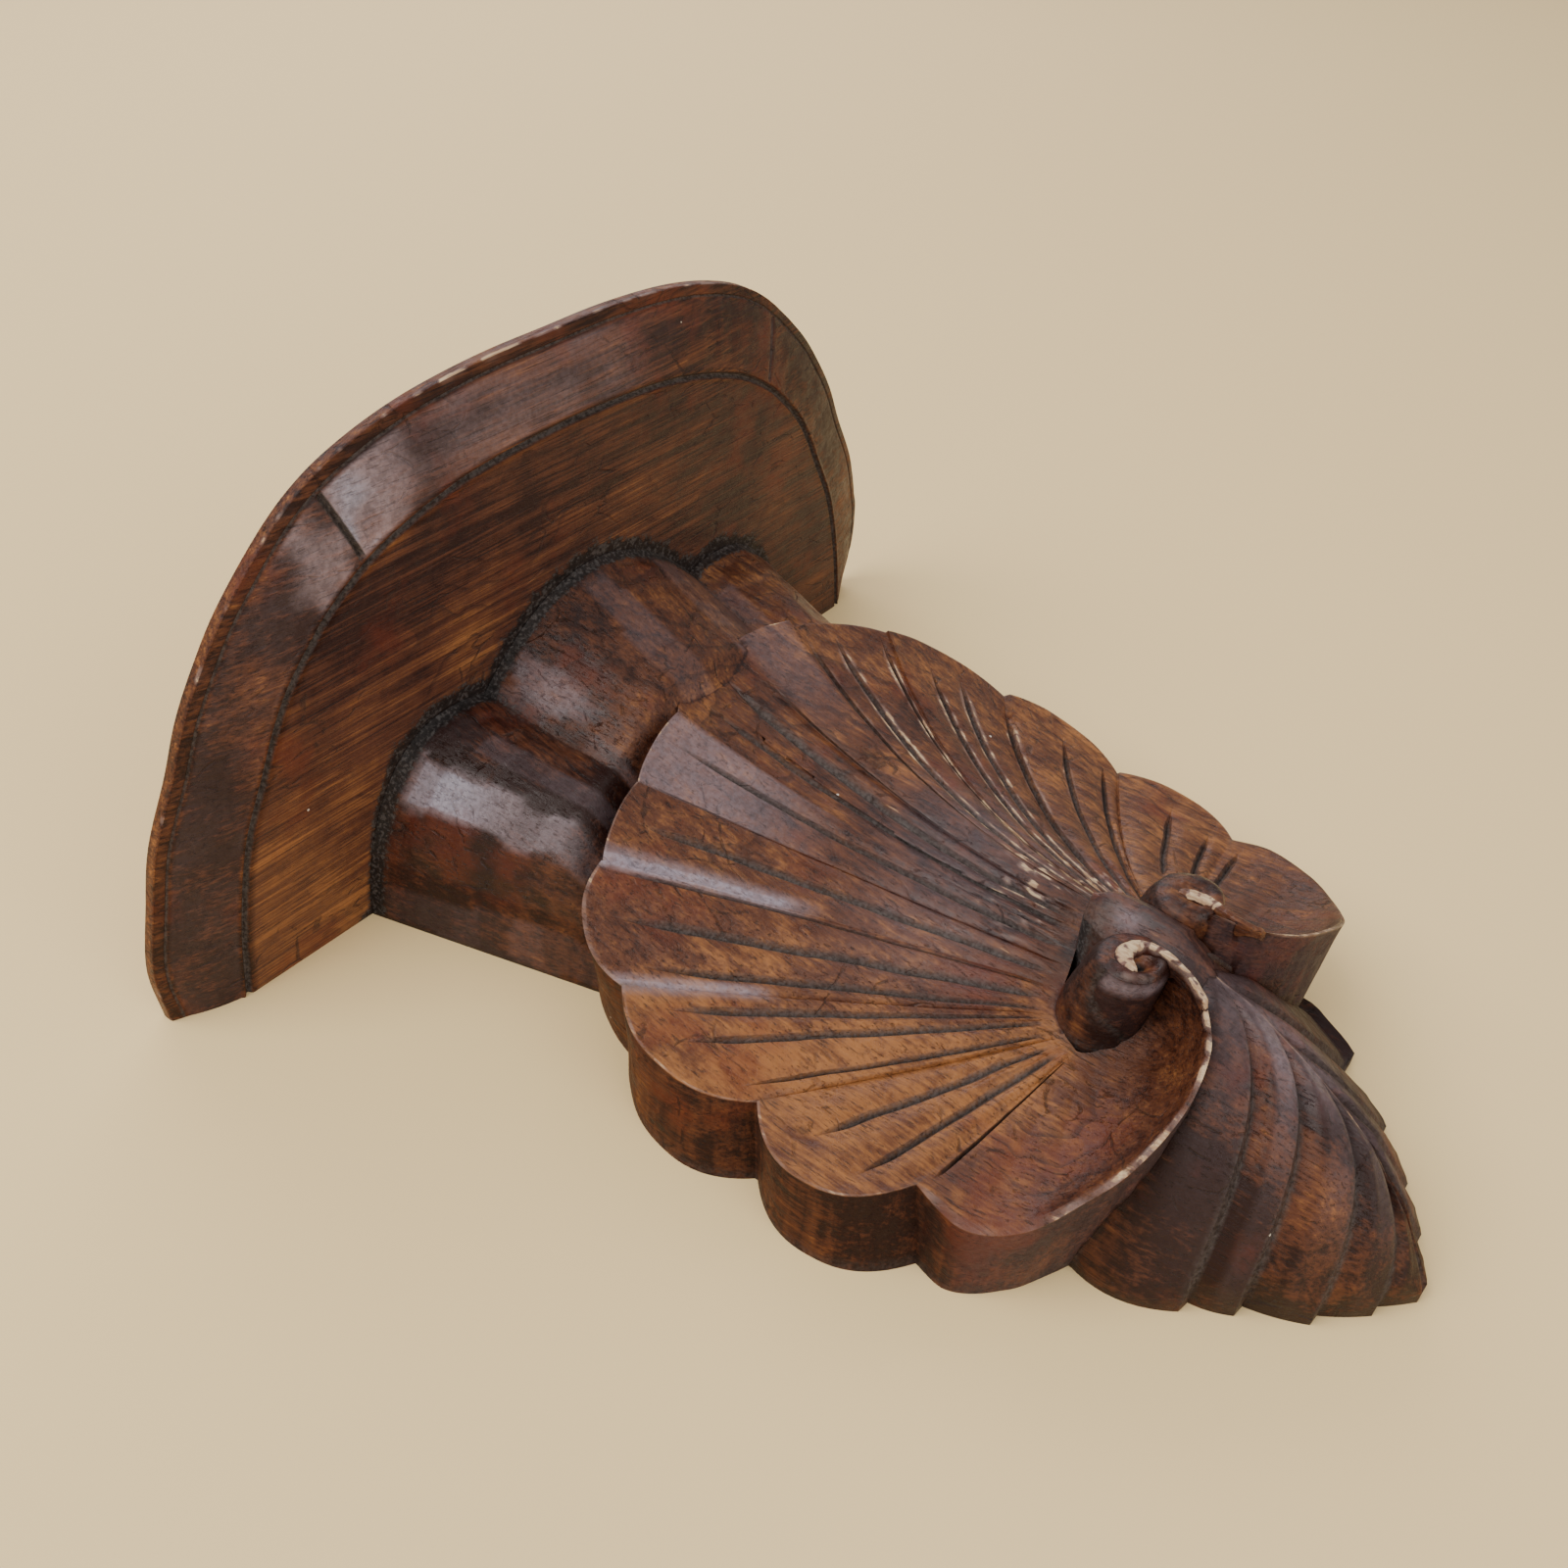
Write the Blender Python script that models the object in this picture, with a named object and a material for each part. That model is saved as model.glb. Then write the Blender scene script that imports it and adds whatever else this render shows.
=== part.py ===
"""Carved wooden shelf bracket: a shelf board and the carved corbel that bears it.

It lies on its flat back: +X to the right, +Y up in use, +Z out of the wall.
The origin is on the back, DROP below the underside of the shelf.
"""
import math

import bmesh
import bpy

# driving dimensions, metres
SHELF_WIDTH = 0.326
SHELF_DEPTH = 0.1595
SHELF_SHIFT = -0.004
SHELF_CORNER_IN = 0.008
SHELF_CORNER_HEIGHT = 0.036
SHELF_EDGE = 0.0042
BAND_RISE = 0.008
GROOVE_DEPTH = 0.0013
GROOVE_HALF = 0.0011
MITRE_DEPTH = 0.0011
NECK_WIDTH = 0.199
NECK_HEIGHT = 0.084
FAN_HALF_WIDTH = 0.103
FAN_HEIGHT = 0.067
CORBEL_LENGTH = 0.306
FLUTE_DEPTH = 0.0014
FLUTE_HALF = 0.0012
LEAF_STEP = 0.0028
LEAF_EDGE = 0.003
KNOB_RADIUS = 0.0135
JOINT_GAP = 0.0003
DROP = 0.150

# half of the line between field and band: share of the half width, share of the depth
FIELD_LINE = [
    (0.865, 0.0), (0.848, 0.13), (0.822, 0.253), (0.791, 0.353), (0.742, 0.454), (0.706, 0.530),
    (0.663, 0.599), (0.607, 0.662), (0.558, 0.707), (0.482, 0.757), (0.405, 0.789),
    (0.319, 0.814), (0.233, 0.830), (0.123, 0.839), (0.0, 0.843),
]
MITRE_LEFT = 9
MITRE_RIGHT = 8

# outer edge of the board at the same places
EDGE_LINE = [
    (0.994, 0.0), (1.0, 0.125), (0.970, 0.26), (0.938, 0.375), (0.880, 0.495), (0.838, 0.590),
    (0.786, 0.675), (0.722, 0.760), (0.620, 0.860), (0.535, 0.918), (0.442, 0.955),
    (0.340, 0.980), (0.240, 0.993), (0.125, 1.0), (0.0, 1.0),
]

# the fan, left to right round the heart: rim point, foot point, dish, bow, steepness, foot of wall.
# These are millimetres in a carving 206 across the fan, 306 long and 67 high, with y from the
# underside of the shelf. AX, AL and AH bring them to the sizes above.
FAN = [
    ((-10.5, -220.5, 67), (-10, -216.5, 62), 0, 0, 1.5, (0, 1)),
    ((-14, -230, 65.5), (-12.5, -217.5, 50), 0.5, 0, 2.0, (0, 1)),
    ((-20, -236.5, 63.5), (-15, -217.8, 45), 1, 0, 2.2, (0, 2)),
    ((-28, -241, 60.5), (-18, -217, 42), 1, 0, 2.2, (0, 3)),
    ((-42, -242.5, 54), (-21, -215, 40), 2, 0, 2.2, (0, 5)),
    ((-57, -239.5, 44), (-24, -213, 38.5), 3, 0, 2.0, (0, 6)),
    ((-70, -233, 36.5), (-26.5, -211.5, 37.5), 4, 0, 1.8, (1, 4)),
    ((-82, -225, 31), (-28, -210, 37), 4, 0, 1.6, (2.5, 2)),
    ((-89, -212.5, 28.5), (-28.8, -208.5, 36.5), 4, 0, 1.4, (0, 0.5)),
    ((-85.5, -196.5, 27.5), (-29.2, -207, 36.5), 4, 1, 1.2, (-2.5, -5)),
    ((-91.5, -149.5, 27), (-27.2, -202.3, 37), 4, 2, 1.0, (-3.5, -4.5)),
    ((-91.5, -101, 36), (-23.3, -197.8, 38.5), 4, 3, 1.0, (4.5, 1)),
    ((-71, -74, 50), (-17.1, -194.4, 41), 5, 6, 1.0, (-3, 0)),
    ((-45, -63, 56), (-10.6, -192.5, 43), 7, 6, 1.0, (0, 0)),
    ((-17, -54, 61), (-3.2, -190, 45.5), 8, 2, 1.0, (0, 0)),
    ((20, -41, 60.5), (4.6, -188.1, 47.5), 8, 1, 1.0, (0, 0)),
    ((42, -49, 62), (10.9, -188.3, 48.5), 8, 5, 1.0, (0, 0)),
    ((70, -69, 54), (17.1, -190.4, 45), 8, 7, 1.0, (3, 0)),
    ((90, -107, 36), (23.3, -195, 41.5), 6, 6, 1.0, (-4.5, 1)),
    ((91.5, -152, 27), (27.2, -200, 38.5), 4, 3, 1.0, (3.5, -4.5)),
    ((87.5, -196, 26.5), (29.2, -206, 37.5), 4, 1, 1.2, (2.5, -5)),
    ((89.5, -208, 28), (28.8, -208.5, 37.5), 4, 0, 1.4, (1, -1)),
    ((83, -223, 31.5), (28, -210, 37.5), 4, 0, 1.6, (-2, 2)),
    ((72, -234, 36.5), (26.5, -211.5, 38), 4, 0, 1.8, (-1, 4)),
    ((58, -242, 44), (24, -213, 38.5), 3, 0, 2.0, (0, 6)),
    ((42, -243.5, 54), (21, -215, 40), 2, 0, 2.2, (0, 3)),
    ((28, -241, 60.5), (18, -217, 42), 1, 0, 2.2, (0, 3)),
    ((20, -236.5, 63.5), (15, -217.8, 45), 1, 0, 2.2, (0, 2)),
    ((14, -230, 65.5), (12.5, -217.5, 50), 0.5, 0, 2.0, (0, 1)),
    ((10.5, -220.5, 67), (10, -216.5, 62), 0, 0, 1.5, (0, 1)),
]

# lobes of the rim, by the place where each begins: bulge, rise at its start and at its end, and how
# much further the foot of the wall bulges
LOBES = {
    9: (15, 0, 0, -2), 10: (11, -1, 0, 2.5), 11: (8, -1, 1, -6), 12: (2, -1, 1, 0), 13: (2, 0, 1.5, 0),
    14: (5, -2, 0, 0), 15: (2, 0, 1.5, 0), 16: (4, -1.5, 0, 0), 17: (5, 1, -1, -3),
    18: (6, 1, -1, 2), 19: (6.5, 0, 0, -1),
}

# cut flutes: place round the fan, where the cut begins and ends between heart and rim
FLUTES = [
    (8.82, 0.08, 0.93), (9.36, 0.06, 0.88), (9.75, 0.06, 0.86), (10.24, 0.05, 0.89),
    (10.67, 0.05, 0.91), (10.88, 0.05, 0.91), (11.2, 0.05, 0.91), (11.6, 0.04, 0.94),
    (11.95, 0.04, 0.97), (12.55, 0.04, 0.96), (13.04, 0.03, 0.98), (13.64, 0.03, 0.97),
    (14.38, 0.03, 0.94), (14.78, 0.03, 0.95), (15.1, 0.03, 0.86), (16.1, 0.03, 0.97),
    (16.42, 0.03, 0.97), (16.92, 0.03, 0.97), (17.28, 0.04, 0.92), (17.55, 0.04, 0.94),
    (17.97, 0.05, 0.95), (18.42, 0.05, 0.91), (18.82, 0.05, 0.93), (19.43, 0.4, 0.87),
    (19.81, 0.5, 0.87), (20.43, 0.5, 0.9),
]

# ridge of the crest and leaf: along, height, half width of the leaf there
SPINE = [
    (-190, 62.0, 0), (-194, 64.5, 0), (-205, 66.5, 0), (-215, 66.0, 0), (-222, 64.0, 62),
    (-231, 60.0, 62), (-243, 56.0, 60), (-255, 51.5, 54.5), (-263, 48.0, 49), (-272, 43.5, 43),
    (-280, 38.5, 37), (-288, 30.0, 28.5), (-294, 23.0, 21.5), (-300, 13.0, 13), (-306, 3.5, 1.5),
]
LEAN = -10.0
LEAN_FROM = -200.0

# leaf blades on each side: ridge end, notch left by the blade before, tip (across from the ridge,
# along), swell of the edge between them
BLADES = {
    -1: [
        (-229, (59.5, -232), (50, -260.2), 4.0), (-246, (46, -260.8), (40.5, -271.6), 0.7),
        (-262, (36.5, -272), (28.2, -287.6), 0.7), (-278, (24.5, -287.8), (14, -298.6), 0.5),
        (-292, (10.5, -298.6), (1.5, -306), 0.3),
    ],
    1: [
        (-229, (70, -229), (57, -259.5), 0.5), (-246, (51, -260.4), (39.5, -277.5), 0.7),
        (-262, (36, -278), (26.5, -289.8), 0.7), (-278, (23, -290.2), (14, -299), 0.5),
        (-292, (10.5, -299.2), (1.5, -306), 0.3),
    ],
}
LEAF_SECTION = {-1: 2.7, 1: 1.3}
STEPS_ACROSS = [0.0, 0.3, 0.7, 1.0]

AX = FAN_HALF_WIDTH / 103.0
AL = CORBEL_LENGTH / 306.0
AH = FAN_HEIGHT / 67.0


def lerp(a, b, u):
    return a + (b - a) * u


def smooth(a, b, x):
    u = min(1.0, max(0.0, (x - a) / (b - a)))
    return u * u * (3 - 2 * u)


def catmull(p, q, r, s, u):
    return tuple(
        0.5 * (2 * b + (c - a) * u + (2 * a - 5 * b + 4 * c - d) * u * u + (3 * b - a - 3 * c + d) * u ** 3)
        for a, b, c, d in zip(p, q, r, s)
    )


def table(rows, x, column):
    """value of one column of rows sorted downwards by their first entry"""
    if x >= rows[0][0]:
        return rows[0][column]
    for a, b in zip(rows, rows[1:]):
        if x >= b[0]:
            return lerp(a[column], b[column], (x - a[0]) / (b[0] - a[0]))
    return rows[-1][column]


def place(x, y, z):
    """carving units to metres in the shared frame"""
    return (x * AX, y * AL + DROP, z * AH)


def fan_column(i, u):
    """rim, foot, dish, bow, steepness, rise and wall foot at share u of the run after place i"""
    a = FAN[i]
    b = FAN[i + 1]
    lo = i if i - 1 in LOBES else max(i - 1, 0)
    hi = i + 1 if i + 1 in LOBES else min(i + 2, len(FAN) - 1)
    rise = 0.0
    wall = [lerp(p, q, u) for p, q in zip(a[5], b[5])]
    if i in LOBES:
        bulge, start, end, flare = LOBES[i]
        dx = b[0][0] - a[0][0]
        dy = b[0][1] - a[0][1]
        n = math.hypot(dx, dy)
        swell = 1 - abs(2 * u - 1) ** 2.4
        k = bulge * swell
        rim = [lerp(p, q, u) for p, q in zip(a[0], b[0])]
        rim[0] -= dy / n * k
        rim[1] += dx / n * k
        foot = [lerp(p, q, u) for p, q in zip(a[1], b[1])]
        rise = lerp(start, end, u)
        wall[0] -= dy / n * flare * swell
        wall[1] += dx / n * flare * swell
    else:
        rim = catmull(FAN[lo][0], a[0], b[0], FAN[hi][0], u)
        foot = catmull(FAN[lo][1], a[1], b[1], FAN[hi][1], u)
    return rim, foot, lerp(a[2], b[2], u), lerp(a[3], b[3], u), lerp(a[4], b[4], u), rise, wall


def fan_point(column, s):
    """surface of the fan at share s from the heart to the rim"""
    rim, foot, dish, bow, steep, rise, _ = column
    dx = rim[0] - foot[0]
    dy = rim[1] - foot[1]
    n = math.hypot(dx, dy) or 1.0
    k = bow * 4 * s * (1 - s)
    nx = dy / n
    ny = -dx / n
    if nx * rim[0] > 0:
        nx = -nx
        ny = -ny
    z = foot[2] + (rim[2] - foot[2]) * s ** steep - dish * 4 * s * (1 - s) + rise * s
    return (foot[0] + dx * s + nx * k, foot[1] + dy * s + ny * k, z)


def fan_stops():
    """places round the fan that get a column: lobes, steps and both sides of each flute"""
    stops = {}
    for i in range(len(FAN) - 1):
        parts = 4 if i in (9, 10, 11, 17, 18, 19) else 2
        if i < 8 or i > 20:
            parts = 2
        for k in range(parts + 1):
            stops[round(i + k / parts, 4)] = None
    for t in (14, 16):
        stops.pop(float(t), None)
        stops[t - 0.03] = None
        stops[t + 0.03] = None
    for t, start, end in FLUTES:
        i = int(t)
        a = FAN[i][0]
        b = FAN[i + 1][0]
        half = FLUTE_HALF / AX / (math.hypot(b[0] - a[0], b[1] - a[1]) + (8 if i in LOBES else 0))
        for other in list(stops):
            if abs(other - t) < 1.6 * half and stops[other] is None:
                stops.pop(other)
        stops[t - half] = None
        stops[t] = (start, end)
        stops[t + half] = None
    return sorted(stops.items())


ROWS = [0.0, 0.07, 0.16, 0.3, 0.46, 0.62, 0.76, 0.86, 0.93, 0.965, 1.0]


def flute_cut(span, s):
    if span is None:
        return 0.0
    start, end = span
    return smooth(start - 0.01, start + 0.12, s) * (1 - smooth(end - 0.08, end + 0.015, s))


def build_fan():
    loops = []
    for t, span in fan_stops():
        i = min(int(t), len(FAN) - 2)
        column = fan_column(i, t - i)
        rim, foot, wall = column[0], column[1], column[6]
        loop = [place(foot[0], foot[1], 0)]
        for s in ROWS:
            x, y, z = fan_point(column, s)
            px, py, pz = place(x, y, z)
            loop.append((px, py, pz - FLUTE_DEPTH * flute_cut(span, s) * (0.35 + 0.65 * s)))
        loop.append(place(rim[0] + wall[0], rim[1] + wall[1], 0))
        loops.append(loop)
    return solid("fan", loops)


def solid(name, loops, closed_ends=True):
    """closed solid through loops with the same number of points"""
    bm = bmesh.new()
    rings = [[bm.verts.new(p) for p in loop] for loop in loops]
    n = len(rings[0])
    for a, b in zip(rings, rings[1:]):
        for k in range(n):
            m = (k + 1) % n
            bm.faces.new((a[k], a[m], b[m], b[k]))
    if closed_ends:
        bm.faces.new(list(reversed(rings[0])))
        bm.faces.new(rings[-1])
    return finish(name, bm)


def finish(name, bm):
    bmesh.ops.remove_doubles(bm, verts=bm.verts, dist=1e-6)
    bmesh.ops.triangulate(bm, faces=bm.faces)
    bmesh.ops.recalc_face_normals(bm, faces=bm.faces)
    volume = bm.calc_volume(signed=True)
    if volume < 0:
        bmesh.ops.reverse_faces(bm, faces=bm.faces)
    mesh = bpy.data.meshes.new(name)
    bm.to_mesh(mesh)
    bm.free()
    obj = bpy.data.objects.new(name, mesh)
    bpy.context.scene.collection.objects.link(obj)
    return obj


def ridge_x(y):
    return LEAN * max(0.0, (LEAN_FROM - y) / 106.0) ** 1.2


def leaf_height(x, y):
    """height of the leaf without its steps"""
    top = table(SPINE, y, 1)
    half = max(table(SPINE, y, 2), 1.5)
    across = x - ridge_x(y)
    r = min(1.0, abs(across) / half)
    edge = LEAF_EDGE / AH
    return edge + (top - edge) * (1 - r ** LEAF_SECTION[1 if across > 0 else -1])


def fan_roof(x, y):
    """height of the bowl's surface over a place in the carving, high up where there is no bowl"""
    roof = 99.0
    near = 1.8
    for i in list(range(9)) + list(range(20, len(FAN) - 1)):
        for u in (0.0, 0.25, 0.5, 0.75):
            column = fan_column(i, u)
            for k in range(33):
                px, py, pz = fan_point(column, k / 33)
                gap = math.hypot(px - x, py - y)
                if gap < near:
                    near = gap
                    roof = pz
    return roof


def blade_line(start, end, v, side):
    """plan of a blade's edge from the ridge out to the rim"""
    x0 = ridge_x(start)
    y0 = start
    x2 = ridge_x(end[1]) + side * end[0]
    y2 = end[1]
    x1 = lerp(x0, x2, 0.30)
    y1 = y2 + (y0 - y2) * 0.10
    a = (1 - v) ** 2
    b = 2 * v * (1 - v)
    c = v * v
    return (a * x0 + b * x1 + c * x2, a * y0 + b * y1 + c * y2)


LEAF_ROWS = [0.0, 0.12, 0.26, 0.42, 0.58, 0.72, 0.84, 0.93, 1.0]


def build_leaf(side):
    """half of the leaf: stepped blades from the ridge to the edge, closed underneath"""
    loops = []
    root = [(0, -219), (7, -224), (15, -229), (25, -233), (38, -235), (50, -233), (56, -230),
            (59, -228), (61, -226)]
    inner = []
    for x, y in root:
        inner.append((side * x, y, min(leaf_height(side * x, y), 58.0, fan_roof(side * x, y) - 3.0)))
    low = [(side * x * 0.9, y + 8, 22.0 if x else 50.0) for x, y in root]
    loops.append(low)
    loops.append(inner)
    for k, (start, notch, tip, swell) in enumerate(BLADES[side]):
        before = -224.0 if k == 0 else BLADES[side][k - 1][0]
        for q in STEPS_ACROSS:
            a = lerp(before, start, q) if q else before - 0.2
            end = (lerp(notch[0], tip[0], q) + swell * 4 * q * (1 - q), lerp(notch[1], tip[1], q))
            rows = []
            for v in LEAF_ROWS:
                x, y = blade_line(a, end, v, side)
                lift = LEAF_STEP / AH * (q - 0.6) * smooth(0.0, 0.25, v)
                z = min(leaf_height(x, y) + lift, fan_roof(x, y) - 3.0)
                rows.append((x, y, max(z, LEAF_EDGE / AH * 0.8)))
            if k == 0 and q == 0.0:
                continue
            loops.append(rows)
    tip = (ridge_x(-306) + side * 0.4, -306)
    loops.append([(lerp(ridge_x(-300), tip[0], v), lerp(-300, tip[1], v), lerp(13.0, 3.0, v)) for v in LEAF_ROWS])
    rings = []
    for rows in loops:
        ring = [place(*p) for p in rows]
        ring.append(place(rows[-1][0], rows[-1][1], 0))
        ring.append(place(rows[0][0] - side * 2.0, rows[0][1], 0))
        ring.append(place(rows[0][0] - side * 2.0, rows[0][1], rows[0][2] * 0.8))
        rings.append(ring)
    return solid("leaf", rings)


def build_crest():
    """ridge between the two scrolls, from its upright front down into the leaf"""
    loops = []
    for y, half, side_drop, sink in (
        (-189.5, 7.0, 7.0, 0), (-192.0, 8.5, 7.5, 0), (-198, 10.0, 9.0, 0), (-206, 10.5, 10.0, 0),
        (-216, 11.5, 9.0, 0), (-223, 12.5, 8.0, 0.2), (-229, 15.5, 8.0, 2.0), (-236, 21.0, 9.0, 5.0),
    ):
        top = table(SPINE, y, 1) - sink
        cx = ridge_x(y)
        shoulder = top - side_drop * 0.35
        loops.append([
            place(cx - half, y, 0), place(cx - half, y, top - side_drop), place(cx - half * 0.5, y, shoulder),
            place(cx, y, top), place(cx + half * 0.5, y, shoulder), place(cx + half, y, top - side_drop),
            place(cx + half, y, 0),
        ])
    return solid("crest", loops)


KNOB_RINGS = [
    (0.0, 1.0, 0.0), (36.0, 1.0, 0.0), (44.0, 0.95, 0.0), (52.0, 0.88, -0.8), (59.0, 0.82, -1.8),
    (64.0, 0.74, -2.4), (67.0, 0.56, -2.8), (68.0, 0.3, -3.0),
]


def build_knob(side):
    """rolled end of the rim"""
    loops = []
    for z, share, shift in KNOB_RINGS:
        loop = []
        for k in range(20):
            a = 2 * math.pi * k / 20
            r = KNOB_RADIUS / AX * share
            loop.append(place(side * 16.2 + r * math.cos(a), -205.0 + shift + r * 1.0 * math.sin(a), z))
        loops.append(loop)
    return solid("knob", loops)


NECK_ROWS = [0.0, 0.07, 0.18, 0.34, 0.54, 0.76, 1.0]
NECK_ACROSS = [
    0.0, 0.11, 0.22, 0.33, 0.42, 0.475, 0.53, 0.60, 0.68, 0.76, 0.84, 0.91, 0.955, 0.985, 1.0,
]


def neck_height(r):
    """outline of the neck against the shelf, share of its height at share r of its half width"""
    x = r * 99.5
    if r <= 0.475:
        return (84.0 - 0.0118 * x * x) / 84.0
    rise = 60.0 * (1 - (max(0.0, x - 60.0) / 39.5) ** 2.4) ** (1 / 1.8)
    if x < 60.0:
        rise = 60.0 - 2.5 * ((60.0 - x) / 12.8) ** 2
    return rise / 84.0


def build_neck():
    """three rounded lobes that flare towards the shelf and end under the rim of the fan"""
    loops = []
    rows = [-r for r in reversed(NECK_ACROSS[1:])] + NECK_ACROSS
    for v in NECK_ROWS:
        flare = (1 - v) ** 1.4
        loop = []
        for r in rows:
            reach = 58.0 + 30.0 * abs(r) ** 2
            y = -JOINT_GAP / AL - reach * v
            width = NECK_WIDTH / AX / 2 * (0.70 + 0.30 * (1 + y / 95.0))
            share = neck_height(abs(r))
            low = 63.0 * share ** 0.72
            sink = 14.0 * max(0.0, v - 0.76) / 0.24
            z = max(lerp(low, NECK_HEIGHT / AH * share, flare) - sink, 2.0)
            loop.append(place(r * width, y, z))
        loop.append((loop[-1][0], loop[-1][1], 0))
        loop.insert(0, (loop[0][0], loop[0][1], 0))
        loops.append(loop)
    return solid("neck", loops)


def union(name, pieces):
    base = pieces[0]
    for other in pieces[1:]:
        mod = base.modifiers.new("join", "BOOLEAN")
        mod.operation = "UNION"
        mod.solver = "EXACT"
        mod.object = other
        graph = bpy.context.evaluated_depsgraph_get()
        graph.update()
        mesh = bpy.data.meshes.new_from_object(base.evaluated_get(graph))
        base.modifiers.clear()
        old = base.data
        base.data = mesh
        bpy.data.meshes.remove(old)
        bpy.data.objects.remove(other)
    base.name = name
    base.data.name = name
    return base


def clean(obj):
    bm = bmesh.new()
    bm.from_mesh(obj.data)
    bmesh.ops.remove_doubles(bm, verts=bm.verts, dist=2e-6)
    bmesh.ops.dissolve_degenerate(bm, edges=bm.edges, dist=2e-6)
    bmesh.ops.triangulate(bm, faces=bm.faces)
    bmesh.ops.recalc_face_normals(bm, faces=bm.faces)
    bm.to_mesh(obj.data)
    bm.free()


def build_shelf():
    """board with a flat field, a cut line round it and a wide band that slopes to the edge"""
    half = SHELF_WIDTH / 2
    field = [(x * half, z * SHELF_DEPTH) for x, z in FIELD_LINE]
    edge = [(x * half, z * SHELF_DEPTH) for x, z in EDGE_LINE]
    inner = [(-x, z) for x, z in field] + list(reversed(field[:-1]))
    outer = [(-x, z) for x, z in edge] + list(reversed(edge[:-1]))
    count = len(inner)
    marks = {MITRE_LEFT, count - 1 - MITRE_RIGHT}
    columns = []
    for k in range(count):
        (ax, az), (bx, bz) = inner[k], outer[k]
        n = math.hypot(bx - ax, bz - az)
        spread = [k]
        if k in marks:
            spread = [k - 0.09, k, k + 0.09]
        for at in spread:
            lo = int(math.floor(at))
            w = at - lo
            hi = min(lo + 1, count - 1)
            ix = lerp(inner[lo][0], inner[hi][0], w)
            iz = lerp(inner[lo][1], inner[hi][1], w)
            ox = lerp(outer[lo][0], outer[hi][0], w)
            oz = lerp(outer[lo][1], outer[hi][1], w)
            cut = MITRE_DEPTH if at == k and k in marks else 0.0
            g = GROOVE_HALF / n
            loop = []
            for share, y, dip in (
                (-g, 0.0, 0.0), (0.0, GROOVE_DEPTH, 0.0), (g, 0.3 * GROOVE_DEPTH, 0.3), (0.30, 0.27 * BAND_RISE, 1.0),
                (0.60, 0.58 * BAND_RISE, 1.0), (0.88, 0.88 * BAND_RISE, 1.0), (1.0, BAND_RISE, 0.4),
                (1.0, BAND_RISE + SHELF_EDGE, 0.0),
            ):
                x = lerp(ix, ox, share)
                z = lerp(iz, oz, share)
                if k in (0, count - 1):
                    z = 0.0
                if x > 0:
                    x -= SHELF_CORNER_IN * share * max(0.0, 1 - z / SHELF_CORNER_HEIGHT)
                loop.append((x + SHELF_SHIFT, DROP + y + cut * dip, z))
            columns.append(loop)
    bm = bmesh.new()
    rings = [[bm.verts.new(p) for p in loop] for loop in columns]
    for a, b in zip(rings, rings[1:]):
        for p, q, r, s in zip(a, a[1:], b[1:], b):
            bm.faces.new((p, q, r, s))
    bm.faces.new([ring[0] for ring in rings])
    bm.faces.new([ring[-1] for ring in rings])
    bm.faces.new(rings[0] + list(reversed(rings[-1])))
    obj = finish("shelf_board", bm)
    return obj


def material(name, colour, rough):
    mat = bpy.data.materials.new(name)
    mat.use_nodes = True
    node = mat.node_tree.nodes["Principled BSDF"]
    node.inputs["Base Color"].default_value = (*colour, 1)
    node.inputs["Roughness"].default_value = rough
    node.inputs["Metallic"].default_value = 0.0
    mat.diffuse_color = (*colour, 1)
    return mat


def main():
    for obj in list(bpy.data.objects):
        bpy.data.objects.remove(obj, do_unlink=True)
    shelf = build_shelf()
    corbel = union("carved_corbel", [
        build_fan(), build_neck(), build_crest(), build_knob(-1), build_knob(1), build_leaf(-1),
        build_leaf(1),
    ])
    clean(corbel)
    shelf.data.materials.clear()
    corbel.data.materials.clear()
    shelf.data.materials.append(material("stained board wood", (0.22, 0.08, 0.03), 0.42))
    corbel.data.materials.append(material("stained carved wood", (0.25, 0.10, 0.035), 0.38))


main()
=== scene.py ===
"""Looks of a carved wooden shelf bracket: a shelf board and the shell-fan corbel that bears it.

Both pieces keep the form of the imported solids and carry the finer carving: cut flutes, gouge
facets, stepped blades, rolled scrolls and worn edges. Lengths are millimetres, with y measured
from the underside of the shelf; place() brings them into the shared frame.
"""

import math

import bmesh
import bpy
import numpy as np
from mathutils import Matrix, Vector


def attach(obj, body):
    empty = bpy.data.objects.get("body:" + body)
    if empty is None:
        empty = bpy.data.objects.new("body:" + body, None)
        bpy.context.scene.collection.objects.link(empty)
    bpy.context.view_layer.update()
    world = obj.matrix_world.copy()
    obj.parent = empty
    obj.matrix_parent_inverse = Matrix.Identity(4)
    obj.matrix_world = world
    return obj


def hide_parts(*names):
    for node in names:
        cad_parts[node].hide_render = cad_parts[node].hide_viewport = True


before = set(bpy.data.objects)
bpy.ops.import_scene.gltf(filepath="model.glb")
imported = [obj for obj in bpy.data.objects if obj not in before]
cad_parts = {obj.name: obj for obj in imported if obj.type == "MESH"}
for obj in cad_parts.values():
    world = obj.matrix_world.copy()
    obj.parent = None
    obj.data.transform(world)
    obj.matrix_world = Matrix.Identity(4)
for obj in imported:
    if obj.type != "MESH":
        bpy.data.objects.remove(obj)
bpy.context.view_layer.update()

MM = 0.001
SHELF_UNDERSIDE = 150.0

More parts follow.
